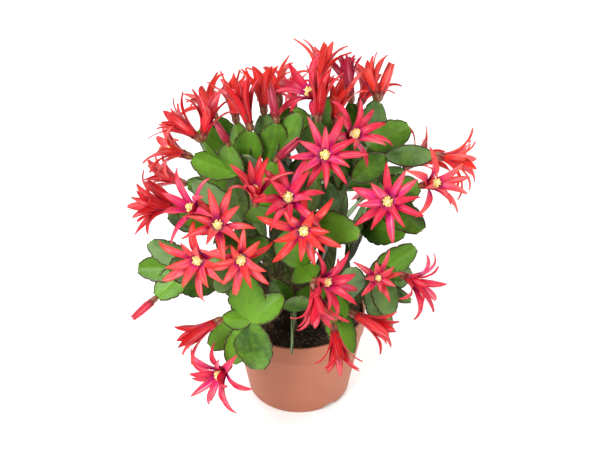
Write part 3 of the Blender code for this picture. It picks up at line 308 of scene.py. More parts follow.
STEMS = {
    "stem_front_left": Stem(
        (-24, -22),
        (Fork(ROOT, (-38, -58, 130)), Fork(0, (-40, -88, 140))),
        (
            Twig(1, (-34, -100, 100), 34.0),
            Twig(1, "b37"),
            Twig(1, (-44, -76, 176), 32.0),
            Twig(1, "b36", 18.0),
            Twig(1, (-14, -84, 162), 24.0),
            Twig(0, (-74, -72, 100), 28.0),
        ),
    ),
    "stem_front": Stem(
        (-4, -28),
        (Fork(ROOT, (-6, -58, 128)),),
        (
            Twig(0, (2, -88, 165), 24.0),
            Twig(0, (-6, -78, 98), 15.0, 70.0),
            Twig(0, (-20, -70, 168), 21.0),
            Twig(0, (22, -66, 162), 24.0),
        ),
    ),
    "stem_front_right": Stem(
        (22, -22),
        (Fork(ROOT, (26, -54, 134)), Fork(0, (43, -66, 148))),
        (
            Twig(0, (42, -88, 106), 26.0),
            Twig(0, "b32"),
            Twig(0, "b33"),
            Twig(1, (42, -78, 186), 26.0),
        ),
    ),
    "stem_right_low": Stem(
        (36, -8),
        (Fork(ROOT, (58, -34, 138)), Fork(0, (66, -58, 168))),
        (
            Twig(1, "b34"),
            Twig(1, "b35"),
            Twig(0, (98, -20, 166), 26.0),
            Twig(0, (100, 4, 122), 26.0),
            Twig(0, (92, -66, 146), 19.0, 60.0),
            Twig(1, (74, -82, 142), 26.0),
            Twig(0, (76, -60, 108), 22.0),
        ),
    ),
    "stem_left_low": Stem(
        (-37, -6),
        (Fork(ROOT, (-66, -26, 134)), Fork(0, (-92, -47, 165))),
        (
            Twig(1, "b38"),
            Twig(1, (-134, -42, 160), 27.0),
            Twig(1, (-120, -56, 196), 25.0),
            Twig(1, (-103, -82, 184), 22.0),
            Twig(0, (-104, -8, 116), 26.0),
        ),
    ),
    "stem_left_mid": Stem(
        (-20, -8),
        (Fork(ROOT, (-38, -38, 136)), Fork(0, (-52, -62, 180)), Fork(1, (-62, -56, 212))),
        (
            Twig(1, "b18"),
            Twig(1, "b19"),
            Twig(1, (-64, -90, 172), 22.0),
            Twig(0, (-62, -54, 152), 26.0),
            Twig(1, (-26, -68, 206), 25.0),
            Twig(2, "b14"),
            Twig(2, "b16"),
            Twig(2, "b17"),
            Twig(2, (-104, -50, 220), 24.0),
        ),
    ),
    "stem_left_high": Stem(
        (-26, 8),
        (
            Fork(ROOT, (-40, -2, 140)),
            Fork(0, (-48, -14, 190)),
            Fork(1, (-54, -16, 230)),
            Fork(2, (-50, -38, 250)),
        ),
        (
            Twig(3, "b13"),
            Twig(3, "b12"),
            Twig(2, "b11"),
            Twig(1, (-88, -2, 220), 27.0),
        ),
    ),
    "stem_crown_left": Stem(
        (-10, 8),
        (
            Fork(ROOT, (-13, 0, 140)),
            Fork(0, (-18, 2, 184)),
            Fork(1, (-27, -6, 228)),
            Fork(2, (-24, -28, 256)),
            Fork(2, (-43, -30, 252)),
        ),
        (
            Twig(4, "b09", 26.0),
            Twig(4, "b08"),
            Twig(3, "b07"),
            Twig(3, "b10"),
            Twig(2, (-40, -50, 274), 28.0),
            Twig(3, (0, -22, 294), 25.0),
            Twig(1, (-10, -34, 226), 21.0),
            Twig(0, (-30, -24, 180), 21.0),
        ),
    ),
    "stem_crown": Stem(
        (2, 14),
        (Fork(ROOT, (3, 8, 142)), Fork(0, (4, 14, 186)), Fork(1, (4, 14, 232))),
        (
            Twig(2, "b01"),
            Twig(2, "b05"),
            Twig(2, (-2, -4, 280), 28.0),
            Twig(0, (16, -12, 184), 21.0),
            Twig(1, (24, 30, 226), 26.0),
            Twig(1, (-22, 34, 222), 26.0),
        ),
    ),
    "stem_crown_right": Stem(
        (14, 4),
        (
            Fork(ROOT, (20, 0, 140)),
            Fork(0, (30, 8, 182)),
            Fork(1, (44, 10, 222)),
            Fork(2, (58, 4, 252)),
        ),
        (
            Twig(2, "b04"),
            Twig(2, "b02", 22.0, 75.0),
            Twig(2, "b06"),
            Twig(3, "b03", 29.0),
            Twig(3, (90, 6, 268), 29.0),
            Twig(0, (27, 44, 190), 27.0),
        ),
    ),
    "stem_right": Stem(
        (30, 8),
        (
            Fork(ROOT, (42, 0, 138)),
            Fork(0, (54, -16, 184)),
            Fork(1, (64, -24, 222)),
            Fork(2, (70, -24, 258)),
        ),
        (
            Twig(3, "b28", 20.0, 20.0),
            Twig(3, (44, -52, 254), 22.0),
            Twig(2, "b27"),
            Twig(2, "b26"),
            Twig(2, (96, -74, 220), 28.0),
            Twig(1, (100, 0, 214), 26.0),
            Twig(1, (44, -62, 214), 26.0),
            Twig(1, (86, -56, 206), 27.0),
            Twig(0, (58, 34, 172), 27.0),
        ),
    ),
    "stem_centre": Stem(
        (4, -10),
        (
            Fork(ROOT, (5, -26, 136)),
            Fork(0, (5, -44, 182)),
            Fork(1, (4, -56, 218)),
            Fork(2, (-26, -70, 226)),
            Fork(2, (14, -40, 248)),
            Fork(1, (0, -78, 187)),
        ),
        (
            Twig(5, (-6, -84, 226), 33.0),
            Twig(5, "b30"),
            Twig(2, "b22"),
            Twig(2, "b21"),
            Twig(2, (46, -86, 224), 26.0),
            Twig(3, "b20"),
            Twig(3, "b29"),
            Twig(4, "b24"),
            Twig(4, "b25"),
        ),
    ),
    "stem_back": Stem(
        (0, 38),
        (Fork(ROOT, (-2, 46, 136)), Fork(0, (-8, 48, 182)), Fork(1, (-12, 46, 224))),
        (
            Twig(2, "k8"),
            Twig(2, (-40, 28, 256), 27.0),
            Twig(1, (16, 52, 222), 25.0),
            Twig(1, (-28, 68, 210), 27.0),
            Twig(0, (-14, 72, 166), 26.0),
        ),
    ),
    "stem_back_left": Stem(
        (-18, 24),
        (Fork(ROOT, (-32, 38, 136)), Fork(0, (-46, 48, 178)), Fork(1, (-58, 56, 212))),
        (
            Twig(0, "k5"),
            Twig(0, (-66, 62, 108), 27.0),
            Twig(1, "k7"),
            Twig(1, (-86, 66, 176), 27.0),
            Twig(2, "k1"),
            Twig(2, (-84, 40, 248), 26.0),
            Twig(2, (-42, 88, 228), 26.0),
        ),
    ),
    "stem_back_right": Stem(
        (20, 26),
        (
            Fork(ROOT, (30, 42, 136)),
            Fork(0, (38, 52, 180)),
            Fork(1, (42, 56, 216)),
            Fork(1, (14, 72, 210)),
        ),
        (
            Twig(0, "k6"),
            Twig(0, (6, 80, 112), 27.0),
            Twig(1, "k4"),
            Twig(1, (82, 66, 178), 27.0),
            Twig(1, (4, 92, 176), 27.0),
            Twig(2, "k3"),
            Twig(2, (84, 34, 248), 26.0),
            Twig(2, (24, 66, 264), 26.0),
            Twig(3, "k2"),
        ),
    ),
}


class Corners:
    """The corners of a solid part, to see which of several likely shapes it has."""

    def __init__(self, node):
        points = [vertex.co / METRES for vertex in frame["nodes"][node].data.vertices]
        self.tree = KDTree(len(points))
        for index, point in enumerate(points):
            self.tree.insert(point, index)
        self.tree.balance()

    def hits(self, points):
        """How many of the points are corners of the solid."""
        return sum(self.tree.find(point)[2] < 0.06 for point in points)


def blend(first, second, share):
    return first + (second - first) * share


def limited(value):
    """The value, but no less than 0 and no more than 1."""
    return min(max(value, 0.0), 1.0)


def partly(values, openness):
    """A value that grows from the first one as a bloom opens, by the second one at most."""
    return values[0] + values[1] * openness


# The plan of the stems


def oval(t):
    """Half width of a segment along its length without its lobes, as a share."""
    wave = math.sin(math.pi * (OVAL_START + OVAL_SPAN * limited(t)))
    return wave**OVAL_BLUNTNESS


def scallop(t, lobes):
    """1 in the notches between a number of even lobes, and 0 along their crowns."""
    return abs(2 * ((t * lobes) % 1.0) - 1) ** 3


def facing_of(bloom):
    return Vector(bloom.facing).normalized()


def curve_points(start, start_way, end, end_way):
    """Joints along a smooth curve, about one segment apart."""
    reach = (end - start).length
    count = max(1, round(reach / SEGMENT_LENGTH))
    points = []
    for i in range(count + 1):
        t = i / count
        s = 1 - t
        bend = start_way * (reach * t * s * s) - end_way * (reach * t * t * s)
        points.append(start * (s * s * (1 + 2 * t)) + end * (t * t * (3 - 2 * t)) + bend)
    return points


def face_normal(start, end, turn):
    """The way a segment's face looks: outwards if it is upright, up if it lies flat, then turned."""
    along = (end - start).normalized()
    middle = (start + end) / 2
    slope = abs(along.z)
    pull = FACE_PULL if middle.y > BACK_LINE else -FACE_PULL
    out = Vector((middle.x, middle.y, 0)).normalized() * slope + Vector((0, pull, 1 - slope))
    normal = (out - along * out.dot(along)).normalized()
    return Matrix.Rotation(math.radians(turn), 3, along) @ normal


def twig_joints(twig, start, start_way):
    """The joints of a twig's chain, which ends at a bare tip or just under a bloom."""
    if not isinstance(twig.end, str):
        end = Vector(twig.end)
        end_way = ((end - start).normalized() - Vector((0, 0, DROOP))).normalized()
        return curve_points(start, start_way, end, end_way)
    bloom = BLOOMS[twig.end]
    joints = curve_points(start, start_way, Vector(bloom.base), facing_of(bloom))
    way = (joints[-1] - joints[-2]).normalized()
    tilts = [facing_of(other).angle(way) for other in BLOOMS.values() if other.node == bloom.node]
    joints[-1] = joints[-1] - way * (GAP + BASE_RADIUS * math.sin(max(tilts)))
    return joints


def stem_spans(stem):
    """Every segment of a stem, trunk first."""
    root = Vector((*stem.root, SOIL_TOP + ROOT_RISE))
    lean = Vector((*stem.root, 0)).normalized() * ROOT_LEAN
    ways = {ROOT: (Vector((0, 0, 1)) + lean).normalized()}
    places = {ROOT: root}
    spans = []
    for index, fork in enumerate(stem.forks):
        start = places[fork.after]
        places[index] = Vector(fork.place)
        ways[index] = (places[index] - start).normalized()
        finish = TRUNK if fork.after == ROOT else LIMB
        joints = curve_points(start, ways[fork.after], places[index], ways[index])
        spans += [Span(a, b, *finish) for a, b in zip(joints, joints[1:])]
    for twig in stem.twigs:
        start = places[twig.fork]
        end = BLOOMS[twig.end].base if isinstance(twig.end, str) else twig.end
        goal = (Vector(end) - start).normalized()
        joints = twig_joints(twig, start, (ways[twig.fork] * CARRY + goal).normalized())
        spans += [Span(a, b, twig.width, twig.turn, 0.0) for a, b in zip(joints, joints[1:])]
    return spans


def edge_points(span, normal, width, bow, sink):
    """Where the corners along both edges of a segment of the solid part lie."""
    along = (span.end - span.start).normalized()
    side = along.cross(normal)
    start = span.start - along * sink
    reach = (span.end - start).length
    plain = span.width <= PLAIN_WIDTH
    stations = PLAIN_STATIONS if plain else [i / (2 * SOLID_LOBES) for i in range(1, 2 * SOLID_LOBES)]
    points = []
    for t in stations:
        notch = 0.0 if plain else SOLID_NOTCH * scallop(t, SOLID_LOBES)
        half = oval(t) * (1 - notch) * width / 2
        middle = start + along * (reach * t) + normal * (bow * 4 * t * (1 - t))
        points += [middle - side * half, middle + side * half]
    return points


def settled_segment(corners, span, rng):
    """The face's way, width and bow that a segment has in the solid part."""
    turn = span.turn + rng.uniform(-TURN_SPREAD, TURN_SPREAD)
    bow = rng.uniform(*BOWS)
    width = span.width * (1 + rng.uniform(-WIDTH_SPREAD, WIDTH_SPREAD))
    found, most = None, -1
    for narrow in WIDTH_TRIES:
        for extra in TURN_TRIES:
            normal = face_normal(span.start, span.end, turn + extra)
            for sink in (0.0, SEGMENT_SINK):
                hits = corners.hits(edge_points(span, normal, width * narrow, bow, sink))
                if hits > most:
                    found, most = (normal, width * narrow, bow), hits
    return found


# The plan of the blooms


class Frame:
    """A bloom's own axes: points are given by azimuth in degrees, radius and distance from the base."""

    def __init__(self, bloom, key):
        self.base = Vector(bloom.base)
        self.axis = facing_of(bloom)
        self.size = bloom.size
        roll = math.radians(random.Random(key).uniform(0, 360))
        self.across = Matrix.Rotation(roll, 3, self.axis) @ self.axis.orthogonal().normalized()
        self.beside = self.axis.cross(self.across)

    def out(self, azimuth):
        angle = math.radians(azimuth)
        return self.across * math.cos(angle) + self.beside * math.sin(angle)

    def point(self, azimuth, radius, reach):
        return self.base + (self.out(azimuth) * radius + self.axis * reach) * self.size


class Petal(NamedTuple):
    """One petal's place: azimuth, opening angles at its root and tip, length and width."""

    azimuth: float
    root_angle: float
    tip_angle: float
    length: float
    width: float
    inner: bool


def petal_place(frame_of, petal, t):
    """(middle, side, up, half width) of a petal at a share of its length."""
    radius, reach = INNER_RING if petal.inner else OUTER_RING
    out = frame_of.out(petal.azimuth)
    start = frame_of.point(petal.azimuth, radius * PETAL_ROOT, reach)
    first = math.radians(petal.root_angle)
    bend = math.radians(petal.tip_angle) - first
    length = petal.length * frame_of.size
    angle = first + bend * t
    rise = (math.sin(angle) - math.sin(first)) / bend
    spread = (math.cos(first) - math.cos(angle)) / bend
    middle = start + (frame_of.axis * rise + out * spread) * length
    up = frame_of.axis * math.sin(angle) - out * math.cos(angle)
    outline = math.sin(math.pi * (PETAL_START + (1 - PETAL_START) * limited(t)))
    half = petal.width * frame_of.size / 2 * max(outline, 0.0) ** PETAL_BLUNTNESS
    return middle, frame_of.axis.cross(out), up, half


def petal_corners(frame_of, petal):
    """Where the corners of a petal of the solid part lie."""
    points = [petal_place(frame_of, petal, 1.0)[0]]
    for t in INNER_STATIONS if petal.inner else OUTER_STATIONS:
        middle, side, up, half = petal_place(frame_of, petal, t)
        points += [middle - side * half + up * PETAL_CHANNEL, middle + side * half + up * PETAL_CHANNEL]
        points.append(middle - up * PETAL_KEEL)
    return points


PETAL_TRIES = [(a, b, c) for a in TILT_TRIES for b in SWING_TRIES for c in LENGTH_TRIES]


def settled_petal(corners, frame_of, petal):
    """The petal as the solid part has it, or None where the solid part leaves it out."""
    found, most = None, 0
    for tilt, swing, shorter in PETAL_TRIES:
        tried = petal._replace(
            azimuth=petal.azimuth + swing,
            root_angle=petal.root_angle + tilt * 0.5,
            tip_angle=petal.tip_angle + tilt,
            length=petal.length * shorter,
        )
        hits = corners.hits(petal_corners(frame_of, tried))
        if hits > most:
            found, most = tried, hits
    return found


def planned_petals(bloom, key):
    """The petals before they are bent clear: an outer whorl, then an inner one half a step round."""
    rng = random.Random(key + " petals")
    step = 360 / bloom.petals
    if bloom.openness == 0:
        shut = (BUD_ANGLE, 0.0, OUTER_LENGTH * BUD_LENGTH, PETAL_WIDTH * BUD_WIDTH, False)
        return [Petal(i * step, *shut) for i in range(bloom.petals)]
    petals = []
    loose = partly(PETAL_LOOSENESS, bloom.openness)
    for inner, opening, length in ((False, OUTER_OPENING, OUTER_LENGTH), (True, INNER_OPENING, INNER_LENGTH)):
        root_angle, tip_angle = (partly(angles, bloom.openness) for angles in opening)
        for i in range(bloom.petals):
            change = rng.uniform(-loose, loose)
            azimuth = (i + inner / 2) * step + rng.uniform(-PETAL_SWING, PETAL_SWING)
            long = length * rng.uniform(*PETAL_LENGTHS)
            wide = PETAL_WIDTH * rng.uniform(*PETAL_WIDTHS)
            petals.append(Petal(azimuth, root_angle + change / 2, tip_angle + change, long, wide, inner))
    return petals


# Meshes


class Build:
    """Points and faces of one piece, with the numbers that its points carry for its material."""

    def __init__(self, *marks):
        self.points = []
        self.faces = []
        self.marks = {mark: [] for mark in marks}

    def add(self, point, **marks):
        self.points.append(point)
        for name, values in self.marks.items():
            values.append(marks.get(name, 0.0))
        return len(self.points) - 1

    def ring(self, points, **marks):
        return [self.add(point, **marks) for point in points]

    def face(self, *corners):
        self.faces.append(corners)

    def band(self, lower, upper):
        """Quads between two closed rings of the same count."""
        count = len(lower)
        for i in range(count):
            after = (i + 1) % count
            self.face(lower[i], lower[after], upper[after], upper[i])

    def loft(self, rings):
        """Bands through a row of rings."""
        for lower, upper in zip(rings, rings[1:]):
            self.band(lower, upper)

    def fan(self, ring, point, **marks):
        tip = self.add(point, **marks)
        for i, corner in enumerate(ring):
            self.face(corner, ring[(i + 1) % len(ring)], tip)

    def tube(self, path, radii, sides, **marks):
        """A closed tube along a path, with a point at each end."""
        before = None
        for i, (point, radius) in enumerate(zip(path, radii)):
            way = (path[min(i + 1, len(path) - 1)] - path[max(i - 1, 0)]).normalized()
            across = way.orthogonal().normalized()
            beside = way.cross(across)
            angles = [math.tau * j / sides for j in range(sides)]
            outward = [across * math.cos(a) + beside * math.sin(a) for a in angles]
            ring = self.ring((point + step * radius for step in outward), **marks)
            if before:
                self.band(before, ring)
            else:
                self.fan(ring, point, **marks)
            before = ring
        self.fan(before, path[-1], **marks)

    def ball(self, middle, radii, axes, rows, sides, **marks):
        """A closed, rounded lump with its own radius along each of three axes."""
        before = None
        low, high = (middle + axes[2] * radii[2] * end for end in (-1, 1))
        for row in range(1, rows):
            angle = math.pi * row / rows
            ring = self.ring(
                (
                    middle
                    - axes[2] * radii[2] * math.cos(angle)
                    + axes[0] * radii[0] * math.sin(angle) * math.cos(math.tau * j / sides)
                    + axes[1] * radii[1] * math.sin(angle) * math.sin(math.tau * j / sides)
                    for j in range(sides)
                ),
                **marks,
            )
            if before:
                self.band(before, ring)
            else:
                self.fan(ring, low, **marks)
            before = ring
        self.fan(before, high, **marks)

    def mesh(self, name):
        """A mesh of the faces, which point out, in metres."""
        body = bmesh.new()
        layers = [(body.verts.layers.float.new(mark), values) for mark, values in self.marks.items()]
        corners = []
        for index, point in enumerate(self.points):
            corner = body.verts.new(point * METRES)
            for layer, values in layers:
                corner[layer] = values[index]
            corners.append(corner)
        for face in self.faces:
            body.faces.new([corners[i] for i in face])
        bmesh.ops.recalc_face_normals(body, faces=body.faces[:])
        mesh = bpy.data.meshes.new(name)
        body.to_mesh(mesh)
        body.free()
        return mesh

    def make(self, name, finish, nodes):
        """Makes the piece, smooth all over, in place of its nodes."""
        mesh = self.mesh(name)
        mesh.shade_smooth()
        return settle(name, mesh, finish, nodes)


def settle(name, mesh, finish, nodes):
    """Puts a mesh in the scene as a piece that rides on the part and stands for its nodes."""
    piece = bpy.data.objects.new(name, mesh)
    bpy.context.scene.collection.objects.link(piece)
    mesh.materials.append(finish)
    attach(piece, "root")
    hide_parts(*nodes)
    return piece


# Materials


class Number:
    """A number in a material. Maths on it adds the nodes that work it out."""

    def __init__(self, finish, socket):
        self.finish = finish
        self.socket = socket

    def math(self, operation, *values):
        return self.finish.node("ShaderNodeMath", {"operation": operation}, dict(enumerate(values)))

    def __add__(self, other):
        return self.math("ADD", self, other)

    __radd__ = __add__

    def __sub__(self, other):
        return self.math("SUBTRACT", self, other)

    def __rsub__(self, other):
        return self.math("SUBTRACT", other, self)

    def __mul__(self, other):
        return self.math("MULTIPLY", self, other)

    __rmul__ = __mul__

    def __pow__(self, other):
        return self.math("POWER", self, other)

    def __abs__(self):
        return self.math("ABSOLUTE", self)

    def fraction(self):
        return self.math("FRACT", self)

    def most(self, other):
        return self.math("MAXIMUM", self, other)

    def step(self, low, high):
        """Rises smoothly from 0 at the low value to 1 at the high one, or falls if low is above high."""
        ends = {"Value": self, "From Min": min(low, high), "From Max": max(low, high)}
        ends |= {"To Min": float(low > high), "To Max": float(low < high)}
        return self.finish.node("ShaderNodeMapRange", {"interpolation_type": "SMOOTHSTEP"}, ends)


class Finish:
    """One material. Every node but its shader is added by type, settings and inputs."""

    def __init__(self, name, constants):
        self.material = bpy.data.materials.new(name)
        self.material.use_nodes = True
        self.tree = self.material.node_tree
        self.shader = self.tree.nodes["Principled BSDF"]
        for key, value in constants.items():
            self.shader.inputs[key].default_value = value

    def node(self, kind, settings=None, values=None, output=0):
        made = self.tree.nodes.new(kind)
        for key, value in (settings or {}).items():
            setattr(made, key, value)
        for key, value in (values or {}).items():
            self.join(value, made.inputs[key])
        return Number(self, made.outputs[output])

    def join(self, value, socket):
        if isinstance(value, Number):
            self.tree.links.new(value.socket, socket)
        else:
            socket.default_value = value

    def mark(self, name):
        """A number that the piece's points carry."""
        return self.node("ShaderNodeAttribute", {"attribute_name": name}, output="Fac")

    def place(self):
        return self.node("ShaderNodeTexCoord", output="Object")

    def height(self):
        """The height over the floor, in metres."""
        return self.node("ShaderNodeSeparateXYZ", values={"Vector": self.place()}, output="Z")

    def cloud(self, size, detail=3.0, rough=0.5, stretch=None):
        """Soft noise from 0 to 1 whose patches have about this size in millimetres."""
        where = self.place()
        if stretch:
            values = {0: where, 1: stretch}
            where = self.node("ShaderNodeVectorMath", {"operation": "MULTIPLY"}, values, "Vector")
        values = {"Vector": where, "Scale": 1 / (size * METRES), "Detail": detail, "Roughness": rough}
        return self.node("ShaderNodeTexNoise", values=values, output="Fac")

    def streaks(self, across, along, tone):
        """Noise from 0 to 1 drawn out along a petal, another one for each tone."""
        where = self.node("ShaderNodeCombineXYZ", values={0: across, 1: along, 2: tone * 23}, output="Vector")
        values = {"Vector": where, "Scale": 1.0, "Detail": 4.0, "Roughness": 0.55}
        return self.node("ShaderNodeTexNoise", values=values, output="Fac")

    def cells(self, size, output="Distance", feature="F1"):
        values = {"Vector": self.place(), "Scale": 1 / (size * METRES)}
        return self.node("ShaderNodeTexVoronoi", {"feature": feature}, values, output)

    def mix(self, share, first, second, kind="MIX"):
        settings = {"data_type": "RGBA", "blend_type": kind}
        return self.node("ShaderNodeMix", settings, {0: share, 6: first, 7: second}, 2)

    def paint(self, colour, roughness=None, relief=None, depth=0.1):
        """Links colour and roughness, and a relief whose full height is this depth in millimetres."""
        self.join(colour, self.shader.inputs["Base Color"])
        if roughness is not None:
            self.join(roughness, self.shader.inputs["Roughness"])
        if relief:
            values = {"Strength": 1.0, "Distance": depth * METRES, "Height": relief}
            self.join(self.node("ShaderNodeBump", values=values), self.shader.inputs["Normal"])
        return self.material


def shade(colour, amount):
    """The colour made darker, or lighter where the amount is over 1."""
    return (*(min(channel * amount, 1.0) for channel in colour[:3]), 1.0)


def plastic_finish(settings):
    """Matte moulded plastic with a fine grain, faint flow streaks, patchy darkening near the foot and a
    painted shadow line under the rim band.
    """
    finish = Finish("pot_plastic", {"IOR": 1.46, "Specular IOR Level": 0.3})
    colour = tuple(settings.colour)
    streaks = finish.cloud(9.0, 2.0, 0.5, (1.0, 1.0, 0.12))
    grain = finish.cloud(0.35, 2.0, 0.6)
    patches = finish.cloud(22.0, 4.0, 0.55)
    mixed = finish.mix(patches.step(0.3, 0.75), shade(colour, 0.96), shade(colour, 1.04))
    mixed = finish.mix(streaks.step(0.5, 0.75) * 0.25, mixed, shade(colour, 0.86))
    mixed = finish.mix(grain.step(0.55, 0.8) * 0.25, mixed, shade(colour, 1.25))
    height = finish.height()
    # Patchy darkening in the lowest four millimetres, near the foot
    darker_foot = height.step(0.004, 0.0) * finish.cloud(3.0).step(0.4, 0.7) * 0.6
    mixed = finish.mix(darker_foot, mixed, shade(colour, 0.55))
    rough = 0.5 + 0.14 * finish.cloud(14.0)
    # Painted shadow: a dark line just under the step at the foot of the rim band
    band_foot = BAND_BASE * METRES
    line = height.step(band_foot - 0.0022, band_foot - 0.0003) * height.step(band_foot + 0.0009, band_foot)
    mixed = finish.mix(line * 0.5, mixed, shade(colour, 0.5))
    relief = grain * 0.5 + finish.cloud(1.4, 3.0) * 0.5
    return finish.paint(mixed, rough, relief, 0.05)


def compost_finish(settings):
    """Dark peat with brown fibres and damp, nearly black hollows."""
    finish = Finish("compost", {"Specular IOR Level": 0.3})
    colour = tuple(settings.colour)
    clumps = finish.cloud(3.0, 5.0, 0.7)
    crumbs = finish.cells(1.3)
    mixed = finish.mix(clumps.step(0.35, 0.7), shade(colour, 0.45), shade(colour, 1.5))
    mixed = finish.mix(crumbs.step(0.3, 0.6) * 0.6, mixed, shade(colour, 3.2))
    specks = finish.cells(2.6).step(0.36, 0.16) * finish.cloud(3.0).step(0.4, 0.6)
    mixed = finish.mix(specks * 0.85, mixed, (0.36, 0.26, 0.18, 1.0))
    rough = 0.98 - 0.25 * clumps.step(0.6, 0.35)
    return finish.paint(mixed, rough, clumps * 0.6 + crumbs * 0.4, 0.7)


def skin_finish(settings):
    """Green skin with pale waxy patches that also stand in for painted sheen, a pale rib, faint veins, a
    brown-purple margin, corky old parts and painted shade deep inside the plant.
    """
    glow = {"Subsurface Weight": 0.08, "Subsurface Scale": 0.001, "Subsurface Radius": (0.6, 1.0, 0.25)}
    finish = Finish("stem_skin", {"IOR": 1.45, "Specular IOR Level": 0.22} | glow)
    young, old = tuple(settings.young), tuple(settings.old)
    tone = finish.mark("tone")
    along = finish.mark("along")
    across = abs(finish.mark("across"))
    rim = finish.mark("rim")
    age = finish.mark("age")
    felt = finish.mark("felt")
    # inner: how deep a segment stands in the plant's own shade, for painted shade
    inner = finish.mark("inner")
    green = finish.mix(tone.step(0.2, 0.8) * 0.85, young, old)
    green = finish.mix(age * 0.7, green, shade(old, 0.7))
    green = finish.mix(finish.cloud(16.0, 3.0, 0.5).step(0.35, 0.75) * 0.55, green, shade(young, 1.5))
    # Painted shade: segments deep inside the plant are darkened towards the old green
    green = finish.mix(inner * 0.9, green, shade(old, 0.35))
    green = finish.mix(across.step(0.45, 1.0) * 0.35, green, shade(old, 1.5))
    green = finish.mix(finish.cloud(4.5, 3.0).step(0.45, 0.7) * 0.22, green, shade(young, 1.5))
    green = finish.mix(finish.cloud(1.2, 3.0, 0.6).step(0.45, 0.75) * 0.3, green, shade(old, 1.2))
    # Pale waxy patches on some segments, which also stand in for painted sheen
    wax_and_sheen = finish.cloud(30.0, 2.0).step(0.3, 0.6) * (0.06 + tone.step(0.72, 0.95))
    green = finish.mix(wax_and_sheen * 0.62, green, tuple(settings.wax_and_sheen_colour))
    drift = along * LOBES + 0.55 * across - 0.5
    vein = abs(drift.fraction() - 0.5)
    veins = vein.step(0.07, 0.0) * across.step(0.95, 0.6) * across.step(0.02, 0.2)
    rib = across.step(0.16, 0.02)
    green = finish.mix((veins * 0.09 + rib * 0.16) * (1.3 - tone), green, shade(young, 1.6))
    margin = rim.step(1.7, 0.8)
    margin = margin * (0.7 + 0.3 * finish.cloud(4.0).step(0.3, 0.6))
    skin = finish.mix(margin, green, tuple(settings.margin))
    cork = finish.cloud(2.6, 4.0, 0.7, (1.0, 1.0, 0.45))
    bark = finish.mix(cork.step(0.35, 0.65), (0.05, 0.028, 0.014, 1.0), (0.2, 0.13, 0.07, 1.0))
    low = finish.height().step(0.125, 0.088)
    corky = (age * (0.35 + 0.65 * cork.step(0.45, 0.7)) * 0.8).most(low * age)
    skin = finish.mix(corky, skin, bark)
    skin = finish.mix(felt, skin, (0.3, 0.19, 0.09, 1.0))
    rough = 0.27 + 0.16 * finish.cloud(5.0) + 0.35 * corky + 0.2 * wax_and_sheen
    relief = veins * 0.35 + rib * 0.2 + finish.cloud(0.9, 3.0) * 0.25 + corky * cork
    return finish.paint(skin, rough, relief, 0.22)


def petal_finish(name, colour, heart, throat):
    """A silky petal: a purple root, a magenta lower half, red edges and tip, pale streaks that are partly
    painted sheen, and fine veins.
    """
    glow = {"Subsurface Weight": 0.25, "Subsurface Scale": 0.0015, "Subsurface Radius": (1.0, 0.25, 0.25)}
    finish = Finish(name, {"IOR": 1.42, "Specular IOR Level": 0.4} | glow)
    along = finish.mark("along")
    side = finish.mark("across")
    across = abs(side)
    top = finish.mark("top")
    tone = finish.mark("tone")
    bright = tone.step(0.35, 1.0)
    outside = finish.mix(tone, shade(colour, 0.85), shade(colour, 1.25))
    outside = finish.mix(bright * along.step(0.0, 0.6) * 0.95, outside, pale_coral(colour))
    reach = along.step(0.95, 0.3) * across.step(1.1, 0.3)
    flush = (reach * (0.25 + 0.75 * tone.step(0.2, 0.75))).most(along.step(0.4, 0.12) * 0.8)
    inside = finish.mix(tone, shade(colour, 0.95), pale_coral(colour))
    inside = finish.mix(flush, inside, heart)
    mixed = finish.mix(top, outside, inside)
    lines = finish.streaks(side * 5.5, along * 0.9, tone).step(0.5, 0.72)
    mixed = finish.mix(lines * 0.45, mixed, shade(colour, 0.6))
    # Pale streaks along the middle: partly the petal's own paler bands, partly a painted sheen
    pale = finish.streaks(side * 3.0 + 9, along * 0.8, tone).step(0.45, 0.7) * across.step(0.95, 0.3)
    mixed = finish.mix(pale * along.step(0.05, 0.4) * (0.3 + 0.55 * tone), mixed, (0.88, 0.30, 0.36, 1.0))
    edge = across.step(0.6, 1.0) * along.step(0.1, 0.4)
    mixed = finish.mix(edge * 0.75, mixed, shade(colour, 0.8))
    blush = along.step(0.5, 0.15) * top * (0.1 + 0.5 * tone)
    mixed = finish.mix(blush, mixed, shade(throat, 1.25))
    root = along.step(0.36, 0.17) * top * (0.45 + 0.55 * finish.cloud(1.6).step(0.35, 0.6))
    mixed = finish.mix(root, mixed, throat)
    rough = 0.28 + 0.12 * finish.cloud(2.5) + 0.06 * lines
    relief = lines * 0.8 + finish.cloud(0.8, 2.0) * 0.15 + across.step(0.12, 0.0) * 0.4
    return finish.paint(mixed, rough, relief, 0.2)


def pale_coral(colour):
    """A lighter and yellower mate of a petal's colour."""
    red, green, blue = tuple(colour)[:3]
    return (min(red * 1.25, 1.0), green * 2.4 + 0.03, blue * 1.6 + 0.03, 1.0)


def base_finish(settings):
    """The brown-red, ribbed seat of a flower, with gold in its furrows and crimson scales."""
    finish = Finish("flower_base", {"Subsurface Weight": 0.06, "Subsurface Scale": 0.001})
    along = finish.mark("along")
    rib = finish.mark("rib")
    brown = finish.mix(rib, (0.32, 0.15, 0.045, 1.0), tuple(settings.base_colour))
    brown = finish.mix(finish.cloud(1.6, 3.0).step(0.45, 0.75) * 0.5, brown, (0.07, 0.012, 0.01, 1.0))
    patches = finish.cloud(1.5, 3.0).step(0.4, 0.7)
    red = finish.mix(patches, (0.36, 0.02, 0.025, 1.0), (0.22, 0.012, 0.02, 1.0))
    mixed = finish.mix(along.step(0.35, 0.95), brown, red)
    relief = rib * 0.5 + finish.cloud(0.8, 3.0) * 0.4
    return finish.paint(mixed, 0.4 + 0.2 * finish.cloud(2.0), relief, 0.2)


